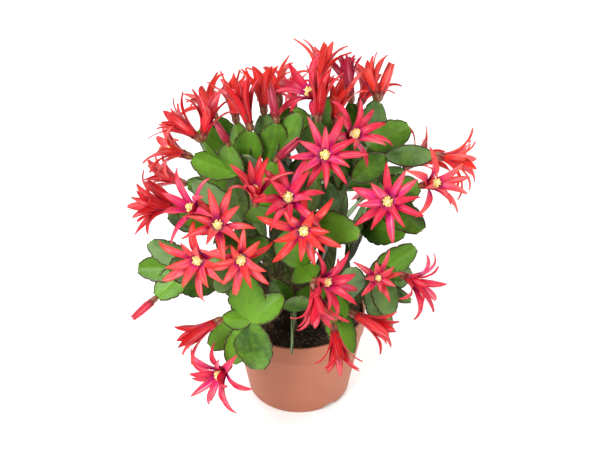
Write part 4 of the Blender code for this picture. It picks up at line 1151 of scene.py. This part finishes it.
def stamen_finish(settings):
    """Cream filaments, flushed at their roots, with powdery yellow anthers and a white stigma, which glow
    faintly in their own colour as painted light.
    """
    # Painted light: a faint emission in the stamens' own colour, to lift them out of the petals' shade
    glow = {"Subsurface Weight": 0.3, "Subsurface Scale": 0.002, "Emission Strength": 0.22}
    finish = Finish("stamens", glow)
    along = finish.mark("along")
    pollen = finish.mark("pollen")
    cream = finish.mix(along.step(0.0, 0.2), (0.85, 0.5, 0.5, 1.0), tuple(settings.filament_colour))
    grains = finish.cloud(0.25, 2.0, 0.7)
    dusty = shade(settings.pollen_colour, 0.85)
    gold = finish.mix(grains.step(0.4, 0.65), dusty, tuple(settings.pollen_colour))
    mixed = finish.mix(pollen, cream, gold)
    # The emission that paints light on the stamens takes their own colour
    finish.join(mixed, finish.shader.inputs["Emission Color"])
    return finish.paint(mixed, 0.55 + 0.3 * pollen, grains * pollen, 0.08)


def floor_finish(settings):
    """Pale paper that turns to plain white far from the plant, as a studio sweep does."""
    glow = {"Emission Strength": 0.7}
    finish = Finish("floor_paper", {"Specular IOR Level": 0.2} | glow)
    colour = tuple(settings.floor_colour)
    fibres = finish.cloud(60.0, 3.0)
    reach = finish.node("ShaderNodeVectorMath", {"operation": "LENGTH"}, {0: finish.place()}, "Value")
    far = reach.step(0.6, 2.2)
    faint = finish.mix(far, (0.17, 0.17, 0.17, 1.0), (1.0, 1.0, 1.0, 1.0))
    finish.join(faint, finish.shader.inputs["Emission Color"])
    return finish.paint(finish.mix(fibres, shade(colour, 0.985), colour), 0.85 + 0.1 * fibres)


# Pot and soil


def wall_radius(height):
    """The pot body's outer radius at a height under the rim band."""
    return FOOT_RADIUS + (RIM_RADIUS - BAND_STEP - FOOT_RADIUS) * height / BAND_BASE


def inner_radius(height):
    """The pot's inner radius at a height within the rim band."""
    return RIM_RADIUS - WALL - BAND_DRAFT * (POT_HEIGHT - height) / BAND_HEIGHT


def arc(middle, radius, first, last, count):
    """(radius, height) points along an arc of a profile, with angles in degrees from outwards to up."""
    angles = [math.radians(blend(first, last, i / count)) for i in range(count + 1)]
    return [(middle[0] + radius * math.cos(a), middle[1] + radius * math.sin(a)) for a in angles]


def level_ring(build, radius, height, sides):
    """A level ring of points round the pot's axis."""
    angles = [math.tau * i / sides for i in range(sides)]
    return build.ring(Vector((radius * math.cos(a), radius * math.sin(a), height)) for a in angles)


def scattered(rng, reach):
    """A random place on a disc round the pot's axis, as x and y."""
    radius = reach * math.sqrt(rng.random())
    angle = rng.uniform(0, math.tau)
    return radius * math.cos(angle), radius * math.sin(angle)


def turned(build, profile, sides):
    """Turns a profile of (radius, height) round Z. A radius of 0 closes it with a point."""
    before = None
    for radius, height in profile:
        if radius == 0:
            if before:
                build.fan(before, Vector((0, 0, height)))
            tip = height
            continue
        ring = level_ring(build, radius, height, sides)
        if before:
            build.band(before, ring)
        else:
            build.fan(ring, Vector((0, 0, tip)))
        before = ring


def spoke(index, count):
    """One of a count of even directions across the base, the first at the first notch."""
    angle = math.radians(FIRST_NOTCH + 360 / count * index)
    return Vector((math.cos(angle), math.sin(angle), 0))


def rod(radius, start, end, sides):
    """A straight closed cylinder as a cutter's mesh."""
    build = Build()
    build.tube([start, end], [radius, radius], sides)
    return build.mesh("cutter")


def cut(piece, cutters):
    """Cuts the meshes out of a piece and takes them away again."""
    others = bpy.data.collections.new("cutters")
    bpy.context.scene.collection.children.link(others)
    for index, mesh in enumerate(cutters):
        others.objects.link(bpy.data.objects.new(f"cutter_{index}", mesh))
    boolean = piece.modifiers.new("Cut", "BOOLEAN")
    boolean.operation = "DIFFERENCE"
    boolean.operand_type = "COLLECTION"
    boolean.collection = others
    boolean.solver = "MANIFOLD"
    graph = bpy.context.evaluated_depsgraph_get()
    mesh = bpy.data.meshes.new_from_object(piece.evaluated_get(graph))
    piece.modifiers.clear()
    piece.data = mesh
    for helper in list(others.objects):
        bpy.data.objects.remove(helper)
    bpy.data.collections.remove(others)


def make_pot(settings):
    """The pot with a soft lip, a line under its rim band, drain holes and scallops in its foot."""
    lip = LIP_ROUNDING
    foot_edge = FOOT_ROUNDING
    profile = [(0, 0), (CHANNEL_INNER - 0.4, 0), (CHANNEL_INNER, 0.4), (CHANNEL_INNER, CHANNEL_DEPTH)]
    profile += [(CHANNEL_OUTER, CHANNEL_DEPTH), (CHANNEL_OUTER, 0.4), (CHANNEL_OUTER + 0.4, 0)]
    profile += arc((wall_radius(foot_edge) - foot_edge, foot_edge), foot_edge, -90, 8, 6)
    for share in (0.12, 0.3, 0.5, 0.7, 0.85, 0.97):
        height = blend(foot_edge, BAND_BASE, share)
        profile.append((wall_radius(height), height))
    profile += [(wall_radius(BAND_BASE), BAND_BASE - 0.4), (wall_radius(BAND_BASE) + 0.1, BAND_BASE - 0.1)]
    profile += arc((RIM_RADIUS - 0.35, BAND_BASE + BAND_ROUNDING), 0.35, -70, 0, 3)
    profile += [(RIM_RADIUS, blend(BAND_BASE, POT_HEIGHT, share)) for share in (0.2, 0.5, 0.8)]
    profile += arc((RIM_RADIUS - lip, POT_HEIGHT - lip), lip, 0, 90, 5)
    profile += arc((inner_radius(POT_HEIGHT) + 0.4, POT_HEIGHT - 0.4), 0.4, 90, 180, 4)
    profile += [(inner_radius(BAND_BASE), BAND_BASE), (wall_radius(FLOOR) - WALL, FLOOR_TOP), (0, FLOOR_TOP)]
    build = Build()
    turned(build, profile, settings.sides)
    pot = build.make("pot_shell", plastic_finish(settings), ["pot"])
    reach = Vector((0, 0, 2 * FLOOR_TOP))
    drop = Vector((0, 0, -NOTCH_DROP))
    cutters = []
    for index in range(DRAIN_COUNT):
        middle = spoke(index, DRAIN_COUNT) * (CHANNEL_INNER + CHANNEL_OUTER) / 2
        cutters.append(rod(DRAIN_RADIUS, middle - reach, middle + reach, 28))
    for index in range(NOTCH_COUNT):
        way = spoke(index, NOTCH_COUNT)
        cutters.append(rod(NOTCH_RADIUS, way * (CHANNEL_OUTER - WALL) + drop, way * RIM_RADIUS + drop, 48))
    cut(pot, cutters)
    pot.data.shade_smooth()
    pot.data.set_sharp_from_angle(angle=math.radians(32))


def soil_height(x, y):
    """The uneven top of the compost."""
    rough = noise.fractal(Vector((x, y, 3.0)) / 9.0, 0.9, 2.2, 4)
    fine = noise.noise(Vector((x, y, 8.0)) / 1.9)
    return SOIL_TOP - 0.3 + 1.1 * rough + 0.45 * fine


def make_soil(settings):
    """A bed of peat with an uneven top, strewn with crumbs and fibres."""
    finish = compost_finish(settings)
    build = Build()
    sides, rings = 120, 34
    shoulder = SOIL_TOP - 1.0
    edge = inner_radius(shoulder) - SOIL_GAP
    floor = FLOOR_TOP + SOIL_GAP
    low_edge = wall_radius(FLOOR) - WALL - 2 * SOIL_GAP
    walls = ((low_edge, floor), (inner_radius(BAND_BASE) - SOIL_GAP, BAND_BASE))
    before = None
    for radius, height in walls:
        ring = level_ring(build, radius, height, sides)
        if before:
            build.band(before, ring)
        else:
            build.fan(ring, Vector((0, 0, floor)))
        before = ring
    for row in range(rings):
        radius = edge * (1 - row / rings) ** 0.85
        ring = []
        for i in range(sides):
            angle = math.tau * i / sides
            x, y = radius * math.cos(angle), radius * math.sin(angle)
            ring.append(build.add(Vector((x, y, soil_height(x, y) - (0.8 if row == 0 else 0.0)))))
        build.band(before, ring)
        before = ring
    build.fan(before, Vector((0, 0, soil_height(0, 0))))
    build.make("soil_bed", finish, ["soil"])
    rng = random.Random("crumbs")
    crumbs = Build()
    for _ in range(settings.crumbs):
        x, y = scattered(rng, edge - 1.5)
        size = 0.45 + 1.5 * rng.random() ** 3
        middle = Vector((x, y, soil_height(x, y) + size * 0.25))
        axis = Vector((rng.uniform(-1, 1), rng.uniform(-1, 1), rng.uniform(-1, 1))).normalized()
        axes = (axis, axis.orthogonal().normalized())
        axes = (*axes, axes[0].cross(axes[1]))
        radii = [size * rng.uniform(0.6, 1.2) for _ in range(3)]
        first = len(crumbs.points)
        crumbs.ball(middle, radii, axes, 5, 7)
        for index in range(first, len(crumbs.points)):
            point = crumbs.points[index]
            crumbs.points[index] = middle + (point - middle) * (1 + 0.35 * noise.noise(point * 1.3))
    for _ in range(settings.crumbs // 6):
        start = Vector((*scattered(rng, edge - 5), 0))
        way = Vector((rng.uniform(-1, 1), rng.uniform(-1, 1), 0)).normalized()
        turn = Vector((-way.y, way.x, 0)) * rng.uniform(-2, 2)
        length = rng.uniform(2.5, 7.0)
        path = []
        for i in range(5):
            t = i / 4
            point = start + way * (length * (t - 0.5)) + turn * (t * (1 - t))
            path.append(Vector((point.x, point.y, soil_height(point.x, point.y) + 0.5)))
        crumbs.tube(path, [0.1, 0.2, 0.22, 0.18, 0.08], 5)
    crumbs.make("soil_crumbs", finish, ["soil"])


# Stems


def segment_half(t, width, plain):
    """Half width of a finished segment at a share of its length, in millimetres."""
    depth = 0.0 if plain else NOTCH_DEPTH
    return oval(t) * (1 - depth * scallop(t, LOBES)) * width / 2


def add_segment(build, span, settled, thickness, rng):
    """One flat segment: a rounded rib, thin scalloped wings, and felt with bristles in its notches."""
    normal, width, bow = settled
    along = (span.end - span.start).normalized()
    side = along.cross(normal)
    start = span.start - along * SEGMENT_SINK
    reach = (span.end - start).length
    plain = span.width <= PLAIN_WIDTH
    centre = (span.start + span.end) / 2
    # inner is the share of painted shade: 1 near the plant's axis and low down, 0 outside
    beside = (SHADE_RADIUS - math.hypot(centre.x, centre.y)) / SHADE_FADE
    inner = limited(beside * limited((SHADE_TOP - centre.z) / SHADE_DROP))
    tone = rng.random()
    phase = rng.uniform(0, math.tau)
    columns = [-u for u in reversed((*COLUMNS, 1.0))] + list((*COLUMNS, 1.0))[1:]
    count = LOBES * STATIONS_PER_LOBE

    def middle(t):
        return start + along * (reach * t) + normal * (bow * 4 * t * (1 - t))

    def section(t, shrink, beyond):
        """The ring of points across the segment, drawn in where its tip is rounded off."""
        half = max(segment_half(t, width, plain) - TIP_ROUNDING * (1 - shrink), 0.3)
        wings = math.sin(math.pi * limited(0.06 + 0.9 * t)) ** 0.5
        centre = middle(t) + along * beyond
        top, low = [], []
        for u in columns:
            rib = math.exp(-((u * half / RIB_WIDTH) ** 2))
            blade = BLADE_SHARE * (1 - u**4) ** 0.5 * blend(0.6, 1.0, wings)
            depth = thickness / 2 * (blade + 0.5 * rib) * shrink
            wave = WAVE * wings * u * u * math.sin(5.5 * t + phase + (1.3 if u > 0 else 0.0))
            flat = centre + side * (u * half) + normal * wave
            marks = {"along": t, "across": u, "rim": (1 - abs(u)) * half}
            marks |= {"tone": tone, "age": span.age, "inner": inner}
            top.append(build.add(flat + normal * depth, **marks))
            if abs(u) < 1:
                low.append(build.add(flat - normal * depth, **marks))
        return top + list(reversed(low))

    rings = [section(i / count, 1.0, 0.0) for i in range(count + 1)]
    for angle in (35, 65, 85):
        turn = math.radians(angle)
        rings.append(section(1.0, math.cos(turn), TIP_ROUNDING * math.sin(turn)))
    build.loft(rings)
    build.face(*rings[0])
    build.face(*rings[-1])
    places = [] if plain else [(i / LOBES, sign) for i in range(1, LOBES) for sign in (-1, 1)]
    for t, sign in places:
        edge = middle(t) + side * (sign * segment_half(t, width, plain))
        add_areole(build, edge, side * sign, normal, 0.5, 2, rng)
    tip = middle(1.0) + along * TIP_ROUNDING
    add_areole(build, tip, along, normal, 0.9, 5, rng)


def add_areole(build, place, out, normal, size, bristles, rng):
    """A dot of felt with a few short, fine bristles."""
    axes = (out.cross(normal), normal, out)
    marks = {"felt": 1.0, "rim": 5.0}
    build.ball(place - out * 0.15, (size * 1.3, size * 0.8, size * 0.7), axes, 4, 6, **marks)
    for _ in range(bristles):
        way = (out + axes[0] * rng.uniform(-0.8, 0.8) + normal * rng.uniform(-0.6, 0.6)).normalized()
        length = rng.uniform(1.2, 2.4) * (0.6 + size * 0.6)
        build.tube([place, place + way * length * 0.6, place + way * length], [0.09, 0.06, 0.02], 3, **marks)


def add_root(build, stem, rng):
    """The round, corky foot of a stem in the soil."""
    marks = {"age": 1.0, "rim": 5.0, "across": 0.5, "tone": 0.5}
    low = Vector((*stem.root, SOIL_TOP - ROOT_DEPTH))
    lean = Vector((*stem.root, 0)).normalized() * ROOT_LEAN
    path, radii = [], []
    for i in range(11):
        t = i / 10
        path.append(low + Vector((0, 0, (ROOT_DEPTH + ROOT_RISE + 2) * t)) + lean * (3.0 * t * t))
        radii.append(blend(3.4, 2.5, t) * (1 + rng.uniform(-0.07, 0.07)))
    build.tube(path, radii, 14, **marks)


def make_stems(settings):
    finish = skin_finish(settings)
    for name, stem in STEMS.items():
        corners = Corners(name)
        rng = random.Random(name)
        spans = stem_spans(stem)
        settled = [settled_segment(corners, span, rng) for span in spans]
        detail = random.Random(name + " detail")
        # The inner mark carries painted shade for segments deep inside the plant
        build = Build("along", "across", "rim", "tone", "age", "felt", "inner")
        add_root(build, stem, detail)
        for span, found in zip(spans, settled):
            add_segment(build, span, found, settings.thickness / METRES, detail)
        build.make(name + "_skin", finish, [name])


# Blooms


def add_petal(build, frame_of, petal, rng, shut, tint):
    """One thin petal, channelled along its middle, with soft waves along its edges and a drawn-out tip."""
    size = frame_of.size
    tone = limited(tint + rng.uniform(-TONE_SPREAD, TONE_SPREAD))
    phase = rng.uniform(0, math.tau)
    freedom = 0.0 if shut else 1.0
    twist = rng.uniform(-1.3, 1.3) * freedom
    hook = rng.uniform(-0.5, 1.5) * freedom
    sway = rng.uniform(-2.6, 2.6) * freedom
    fold = rng.uniform(0.7, 1.9)
    arch = rng.uniform(0.0, 2.0) * freedom
    spread = limited((petal.tip_angle - 25) / 50)
    slender = 1.0 if shut else blend(1.2, 0.9, spread) * rng.uniform(0.95, 1.05)
    columns = [-u for u in reversed((*PETAL_COLUMNS, 1.0))] + list((*PETAL_COLUMNS, 1.0))[1:]
    rings = []
    for row in range(PETAL_ROWS + 1):
        t = blend(-0.1, 0.985, row / PETAL_ROWS)
        middle, side, up, half = petal_place(frame_of, petal, t)
        half = half * slender * (1.0 if t > 0 else 1 + t) + 0.08
        flat = math.sin(math.pi * limited(0.12 + 0.8 * t))
        rise = arch * max(math.sin(math.pi * limited(t)), 0) - hook * max(t - HOOK_START, 0) ** 2 * HOOK_REACH
        middle = middle + up * (rise * size)
        middle = middle + side * (sway * max(t - SWAY_START, 0) ** 2 * size)
        turn = Matrix.Rotation(twist * max(t, 0) ** 2 * 0.5, 3, side.cross(up))
        across, over = turn @ side, turn @ up
        top, low = [], []
        for u in columns:
            lift = fold * (0.75 * abs(u) ** 1.6 - 0.3)
            wave = 0.6 * u * u * flat * math.sin(7 * t + phase + 2.2 * (u > 0))
            thick = PETAL_THICKNESS * (1 - 0.75 * u * u) * blend(1.0, 0.5, max(t, 0))
            point = middle + across * (u * half) + over * ((lift + wave) * size)
            marks = {"along": t, "across": u, "tone": tone}
            top.append(build.add(point, top=1.0 if abs(u) < 1 else 0.5, **marks))
            if abs(u) < 1:
                low.append(build.add(point - over * (thick * size), top=0.0, **marks))
        rings.append(top + list(reversed(low)))
    build.loft(rings)
    build.face(*rings[0])
    middle, side, up, half = petal_place(frame_of, petal, 1.0)
    drop, shift = hook * (1 - HOOK_START) ** 2 * HOOK_REACH, sway * (1 - SWAY_START) ** 2
    end = middle - up * (drop * size) + side * (shift * size)
    build.fan(rings[-1], end, along=1.0, tone=tone, top=0.5)


def add_bud_heart(build, frame_of, petals, rng, tint):
    """The inner petals of a closed bud, wrapped round each other to a point."""
    step = 360 / petals
    for i in range(petals):
        azimuth = (i + 0.5) * step
        inner = Petal(azimuth, 5.0, SHUT_ANGLE - 4, INNER_LENGTH * 0.72, PETAL_WIDTH * 0.7, True)
        add_petal(build, frame_of, inner, rng, True, tint)


def add_throat(build, frame_of):
    """The purple bowl between the roots of the petals."""
    rings = []
    for radius, reach in THROAT_PROFILE:
        corners = (frame_of.point(15 * i, radius, reach) for i in range(24))
        rings.append(build.ring(corners, along=0.0, top=1.0))
    build.loft(rings)
    build.fan(rings[-1], frame_of.point(0, 0, 11.2), along=0.0, top=1.0)


def add_base(build, frame_of, bloom, rng):
    """The ribbed ovary and the tube over it, with small pointed scales."""
    sides = bloom.petals * 8
    rings = []
    for radius, reach in BASE_PROFILE:
        along = limited(reach / 11.0)
        depth = RIB_DEPTH * math.sin(math.pi * limited(reach / 8.0))
        ring = []
        for i in range(sides):
            crest = abs(math.cos(math.pi * i / 8))
            place = frame_of.point(360 * i / sides, radius * (1 - depth * (1 - crest)), reach)
            ring.append(build.add(place, along=along, rib=crest))
        rings.append(ring)
    build.loft(rings)
    build.fan(rings[0], frame_of.point(0, 0, -0.5), along=0.0, rib=1.0)
    build.fan(rings[-1], frame_of.point(0, 0, 11.4), along=1.0, rib=1.0)
    for row, (reach, radius, length) in enumerate(((6.0, 3.0, 4.0), (8.4, 3.1, 6.5))):
        for i in range(bloom.petals):
            azimuth = (i + row / 2 + rng.uniform(-0.08, 0.08)) * 360 / bloom.petals
            add_scale(build, frame_of, azimuth, radius, reach, length * rng.uniform(0.85, 1.15), rng)


def add_scale(build, frame_of, azimuth, radius, reach, length, rng):
    """A small pointed scale that lies along the tube."""
    out = frame_of.out(azimuth)
    side = frame_of.axis.cross(out)
    spread = rng.uniform(0.12, 0.3)
    rings = []
    for t in (0.0, 0.3, 0.6, 0.85, 1.0):
        half = 1.5 * math.sin(math.pi * (0.25 + 0.74 * t)) * frame_of.size
        middle = frame_of.point(azimuth, radius + length * t * spread * (0.6 + 0.6 * t), reach + length * t)
        corners = (-side * half, out * 0.35, side * half, out * 0.02)
        rings.append(build.ring((middle + corner for corner in corners), along=blend(0.5, 1.0, t), rib=1.0))
    build.loft(rings)
    build.face(*rings[0])
    build.face(*rings[-1])


def add_stamens(build, frame_of, openness, count, rng):
    """A tuft of fine filaments with anthers, round a style with a spreading stigma."""
    size = frame_of.size
    spread = partly(FILAMENT_OPENING, openness)
    for i in range(count):
        azimuth = 137.5 * i + rng.uniform(-12, 12)
        share = math.sqrt((i + 0.5) / count)
        foot = frame_of.point(azimuth, 0.5 + 1.7 * share, 11.6)
        tip_reach = rng.uniform(18.2, 22.3) - 1.5 * share
        bulge = frame_of.point(azimuth, 0.5 + (1.2 + spread * 0.45) * share, 16.0)
        tip = frame_of.point(azimuth, 0.3 + spread * share, tip_reach)
        path = [foot, foot.lerp(bulge, 0.55), bulge, bulge.lerp(tip, 0.55) + frame_of.out(azimuth) * 0.2, tip]
        first = len(build.points)
        build.tube(path, [0.3 * size, 0.29 * size, 0.28 * size, 0.26 * size, 0.22 * size], 5)
        for index in range(first, len(build.points)):
            offset = (build.points[index] - foot).dot(frame_of.axis) / (9.0 * size)
            build.marks["along"][index] = offset
        way = (tip - bulge).normalized()
        tilt = (way + frame_of.out(azimuth + rng.uniform(-60, 60)) * rng.uniform(0.1, 0.5)).normalized()
        across = tilt.orthogonal().normalized()
        axes = (across, tilt.cross(across), tilt)
        radii = (0.66 * size, 0.58 * size, 0.98 * size)
        build.ball(tip + tilt * 0.3 * size, radii, axes, 5, 6, along=1.0, pollen=1.0)
    foot, top = frame_of.point(0, 0, 11.4), frame_of.point(0, 0, 21.0)
    build.tube([foot, foot.lerp(top, 0.5), top], [0.34 * size, 0.3 * size, 0.3 * size], 7, along=1.0)
    for i in range(5):
        out = frame_of.out(72 * i + 20)
        bend = top + (out * 0.9 + frame_of.axis * 0.7) * size
        end = top + (out * 1.9 + frame_of.axis * 0.5) * size
        build.tube([top, bend, end], [0.24 * size, 0.28 * size, 0.12 * size], 6, along=1.0)


def make_blooms(settings):
    """Every bloom as three pieces: its petals, its base and, once it opens, its stamens."""
    throat = tuple(settings.throat)
    tones = {
        tone: petal_finish("petal_" + tone, tuple(getattr(settings, tone)), low, throat)
        for tone, low in (
            ("coral", tuple(settings.coral_heart)),
            ("scarlet", shade(settings.coral_heart, 0.8)),
            ("pink", tuple(settings.heart)),
            ("crimson", shade(settings.crimson, 1.8)),
        )
    }
    seat = base_finish(settings)
    gold = stamen_finish(settings)
    members = {}
    for key, bloom in BLOOMS.items():
        members.setdefault(bloom.node, []).append(key)
    for node, keys in members.items():
        corners = Corners(node)
        petals_of = Build("along", "across", "tone", "top")
        bases = Build("along", "rib")
        stamens = Build("along", "pollen")
        for key in keys:
            bloom = BLOOMS[key]
            frame_of = Frame(bloom, key)
            rng = random.Random(key + " detail")
            shut = bloom.openness == 0
            tint = 0.5 if shut else rng.uniform(0.1, 0.9)
            for petal in planned_petals(bloom, key):
                found = settled_petal(corners, frame_of, petal)
                if not found:
                    continue
                if shut:
                    found = found._replace(tip_angle=found.tip_angle + SHUT_ANGLE)
                add_petal(petals_of, frame_of, found, rng, shut, tint)
            add_base(bases, frame_of, bloom, rng)
            if shut:
                add_bud_heart(petals_of, frame_of, bloom.petals, rng, tint)
                continue
            add_throat(petals_of, frame_of)
            add_stamens(stamens, frame_of, bloom.openness, settings.stamens, rng)
        tone = BLOOMS[keys[0]].tone
        petals_of.make(node + "_petals", tones[tone], [node])
        bases.make(node + "_seat", seat, [node])
        if stamens.points:
            stamens.make(node + "_stamens", gold, [node])


# Stage


def make_floor(settings):
    """A pale floor that sweeps up behind the plant."""
    build = Build()
    lines = []
    for x in (-FLOOR_REACH, FLOOR_REACH):
        line = [Vector((x, -FLOOR_REACH, 0))]
        for i in range(25):
            angle = math.radians(90 * i / 24)
            line.append(Vector((x, SWEEP_START + SWEEP * math.sin(angle), SWEEP - SWEEP * math.cos(angle))))
        line.append(Vector((x, SWEEP_START + SWEEP, SWEEP_TOP)))
        lines.append(build.ring(line))
    for i in range(len(lines[0]) - 1):
        build.face(lines[0][i], lines[1][i], lines[1][i + 1], lines[0][i + 1])
    mesh = bpy.data.meshes.new("floor")
    mesh.from_pydata([point * METRES for point in build.points], [], build.faces)
    mesh.shade_smooth()
    mesh.materials.append(floor_finish(settings))
    floor = bpy.data.objects.new("floor", mesh)
    bpy.context.scene.collection.objects.link(floor)


def make_world(settings):
    """Soft light from all sides, which the camera sees as plain white."""
    world = bpy.data.worlds.new("studio")
    world.use_nodes = True
    tree = world.node_tree
    background = tree.nodes["Background"]
    paper = tree.nodes.new("ShaderNodeBackground")
    seen = tree.nodes.new("ShaderNodeLightPath")
    both = tree.nodes.new("ShaderNodeMixShader")
    for sky in (background, paper):
        sky.inputs["Color"].default_value = (1.0, 1.0, 1.0, 1.0)
    background.inputs["Strength"].default_value = settings.sky_light
    tree.links.new(seen.outputs["Is Camera Ray"], both.inputs[0])
    tree.links.new(background.outputs[0], both.inputs[1])
    tree.links.new(paper.outputs[0], both.inputs[2])
    tree.links.new(both.outputs[0], tree.nodes["World Output"].inputs["Surface"])
    bpy.context.scene.world = world


def make_lamps(settings):
    """A main light from the front left, and weaker ones from the right and from behind."""
    target = Vector((0, 0, LAMP_TARGET))
    lamps = (
        ("key_light", (-900, -1100, 1300), 900, settings.key_light),
        ("fill_light", (1200, -900, 700), 1200, settings.key_light * 0.4),
        ("rim_light", (500, 1300, 1200), 900, settings.key_light * 0.45),
    )
    for name, place, width, power in lamps:
        lamp = bpy.data.lights.new(name, "AREA")
        lamp.shape = "DISK"
        lamp.size = width * METRES
        lamp.energy = power
        holder = bpy.data.objects.new(name, lamp)
        holder.location = Vector(place) * METRES
        holder.rotation_euler = (target - Vector(place)).to_track_quat("-Z", "Y").to_euler()
        bpy.context.scene.collection.objects.link(holder)


def make_camera(settings):
    """The camera, at the angle of the picture."""
    scene = bpy.context.scene
    elevation = math.radians(CAMERA_RISE)
    aim = Vector(CAMERA_AIM) * METRES
    back = Vector((0.0, -math.cos(elevation), math.sin(elevation)))
    camera = bpy.data.cameras.new("camera")
    camera.sensor_width = SENSOR_WIDTH
    camera.lens = CAMERA_LENS
    camera.clip_start, camera.clip_end = 0.01, 50.0
    holder = bpy.data.objects.new("camera", camera)
    holder.location = aim + back * settings.camera_distance
    holder.rotation_euler = (-back).to_track_quat("-Z", "Y").to_euler()
    scene.collection.objects.link(holder)
    scene.camera = holder
    scene.view_settings.view_transform = "Standard"


def make_stage(settings):
    """The floor, the light from all sides, the lamps and the camera."""
    make_floor(settings)
    make_world(settings)
    make_lamps(settings)
    make_camera(settings)


# Add-on


def colour(name, description, default):
    return bpy.props.FloatVectorProperty(
        name=name, description=description, subtype="COLOR", size=4, min=0.0, max=1.0, default=default
    )


def whole(name, description, default, least, most):
    return bpy.props.IntProperty(name=name, description=description, default=default, min=least, max=most)


def amount(name, description, default):
    return bpy.props.FloatProperty(name=name, description=description, default=default)


def distance(name, description, default):
    return bpy.props.FloatProperty(name=name, description=description, default=default, unit="LENGTH")


class PotSettings(bpy.types.PropertyGroup):
    colour: colour("Plastic", "Colour of the pot's plastic", (0.385, 0.135, 0.075, 1.0))
    sides: whole("Sides", "Faces round the pot", 128, 24, 256)


class SoilSettings(bpy.types.PropertyGroup):
    colour: colour("Peat", "Colour of the compost", (0.026, 0.016, 0.011, 1.0))
    crumbs: whole("Crumbs", "Loose crumbs on top", 1100, 0, 3000)


class StemSettings(bpy.types.PropertyGroup):
    young: colour("Young green", "Colour of fresh segments", (0.108, 0.250, 0.016, 1.0))
    old: colour("Old green", "Colour of ripe segments", (0.009, 0.040, 0.003, 1.0))
    # This pale waxy colour also serves as painted sheen on the segments
    wax_and_sheen_colour: colour("Wax", "Colour of the waxy bloom on the skin", (0.24, 0.38, 0.16, 1.0))
    margin: colour("Margin", "Colour along the edges", (0.040, 0.014, 0.010, 1.0))
    thickness: distance("Thickness", "Thickness of a segment at its rib", 0.0026)


class BloomSettings(bpy.types.PropertyGroup):
    coral: colour("Coral", "Colour of the coral petals", (0.72, 0.022, 0.012, 1.0))
    scarlet: colour("Scarlet", "Colour of the scarlet petals", (0.58, 0.006, 0.010, 1.0))
    pink: colour("Pink", "Colour of the pink petals", (0.66, 0.012, 0.036, 1.0))
    crimson: colour("Crimson", "Colour of closed buds", (0.36, 0.006, 0.034, 1.0))
    heart: colour("Pink heart", "Colour low on a pink petal", (0.70, 0.018, 0.195, 1.0))
    coral_heart: colour("Coral heart", "Colour low on a coral petal", (0.74, 0.045, 0.105, 1.0))
    throat: colour("Throat", "Colour at the root of the petals", (0.38, 0.003, 0.16, 1.0))
    base_colour: colour("Seat", "Colour of the flower's seat", (0.15, 0.03, 0.018, 1.0))
    filament_colour: colour("Filaments", "Colour of the filaments", (0.98, 0.93, 0.66, 1.0))
    pollen_colour: colour("Pollen", "Colour of the anthers", (0.98, 0.80, 0.26, 1.0))
    stamens: whole("Stamens", "Stamens in a flower", 32, 0, 60)


class StageSettings(bpy.types.PropertyGroup):
    floor_colour: colour("Floor", "Colour of the floor", (0.95, 0.95, 0.95, 1.0))
    key_light: amount("Key light", "Power of the main light in watts", 37.0)
    sky_light: amount("Sky light", "Strength of the light from all sides", 0.24)
    camera_distance: distance("Camera distance", "Distance from the camera to the plant", 1.0)


class CACTUS_OT_pot(bpy.types.Operator):
    """Make the plastic pot"""

    bl_idname = "cactus.pot"
    bl_label = "Pot"

    def execute(self, context):
        make_pot(context.scene.cactus_pot)
        return {"FINISHED"}


class CACTUS_OT_soil(bpy.types.Operator):
    """Fill the pot with compost"""

    bl_idname = "cactus.soil"
    bl_label = "Soil"

    def execute(self, context):
        make_soil(context.scene.cactus_soil)
        return {"FINISHED"}


class CACTUS_OT_stems(bpy.types.Operator):
    """Grow the jointed stems"""

    bl_idname = "cactus.stems"
    bl_label = "Stems"

    def execute(self, context):
        make_stems(context.scene.cactus_stems)
        return {"FINISHED"}


class CACTUS_OT_blooms(bpy.types.Operator):
    """Set the flowers and buds on the stems"""

    bl_idname = "cactus.blooms"
    bl_label = "Blooms"

    def execute(self, context):
        make_blooms(context.scene.cactus_blooms)
        return {"FINISHED"}


class CACTUS_OT_stage(bpy.types.Operator):
    """Set up the floor, the lights and the camera"""

    bl_idname = "cactus.stage"
    bl_label = "Stage"

    def execute(self, context):
        make_stage(context.scene.cactus_stage)
        return {"FINISHED"}


GROUPS = {
    "cactus_pot": (PotSettings, CACTUS_OT_pot),
    "cactus_soil": (SoilSettings, CACTUS_OT_soil),
    "cactus_stems": (StemSettings, CACTUS_OT_stems),
    "cactus_blooms": (BloomSettings, CACTUS_OT_blooms),
    "cactus_stage": (StageSettings, CACTUS_OT_stage),
}


class VIEW3D_PT_cactus(bpy.types.Panel):
    """Settings and buttons for every group of pieces"""

    bl_label = "Potted Easter Cactus"
    bl_space_type = "VIEW_3D"
    bl_region_type = "UI"
    bl_category = "Cactus"

    def draw(self, context):
        for group, (settings, operator) in GROUPS.items():
            box = self.layout.box()
            box.operator(operator.bl_idname)
            for name in settings.__annotations__:
                box.prop(getattr(context.scene, group), name)


def register():
    for group, (settings, operator) in GROUPS.items():
        bpy.utils.register_class(settings)
        bpy.utils.register_class(operator)
        setattr(bpy.types.Scene, group, bpy.props.PointerProperty(type=settings))
    bpy.utils.register_class(VIEW3D_PT_cactus)


def unregister():
    bpy.utils.unregister_class(VIEW3D_PT_cactus)
    for group, (settings, operator) in GROUPS.items():
        delattr(bpy.types.Scene, group)
        bpy.utils.unregister_class(operator)
        bpy.utils.unregister_class(settings)


def main():
    register()
    bpy.ops.cactus.stage()
    bpy.ops.cactus.pot()
    bpy.ops.cactus.soil()
    bpy.ops.cactus.stems()
    bpy.ops.cactus.blooms()


if __name__ == "__main__":
    main()
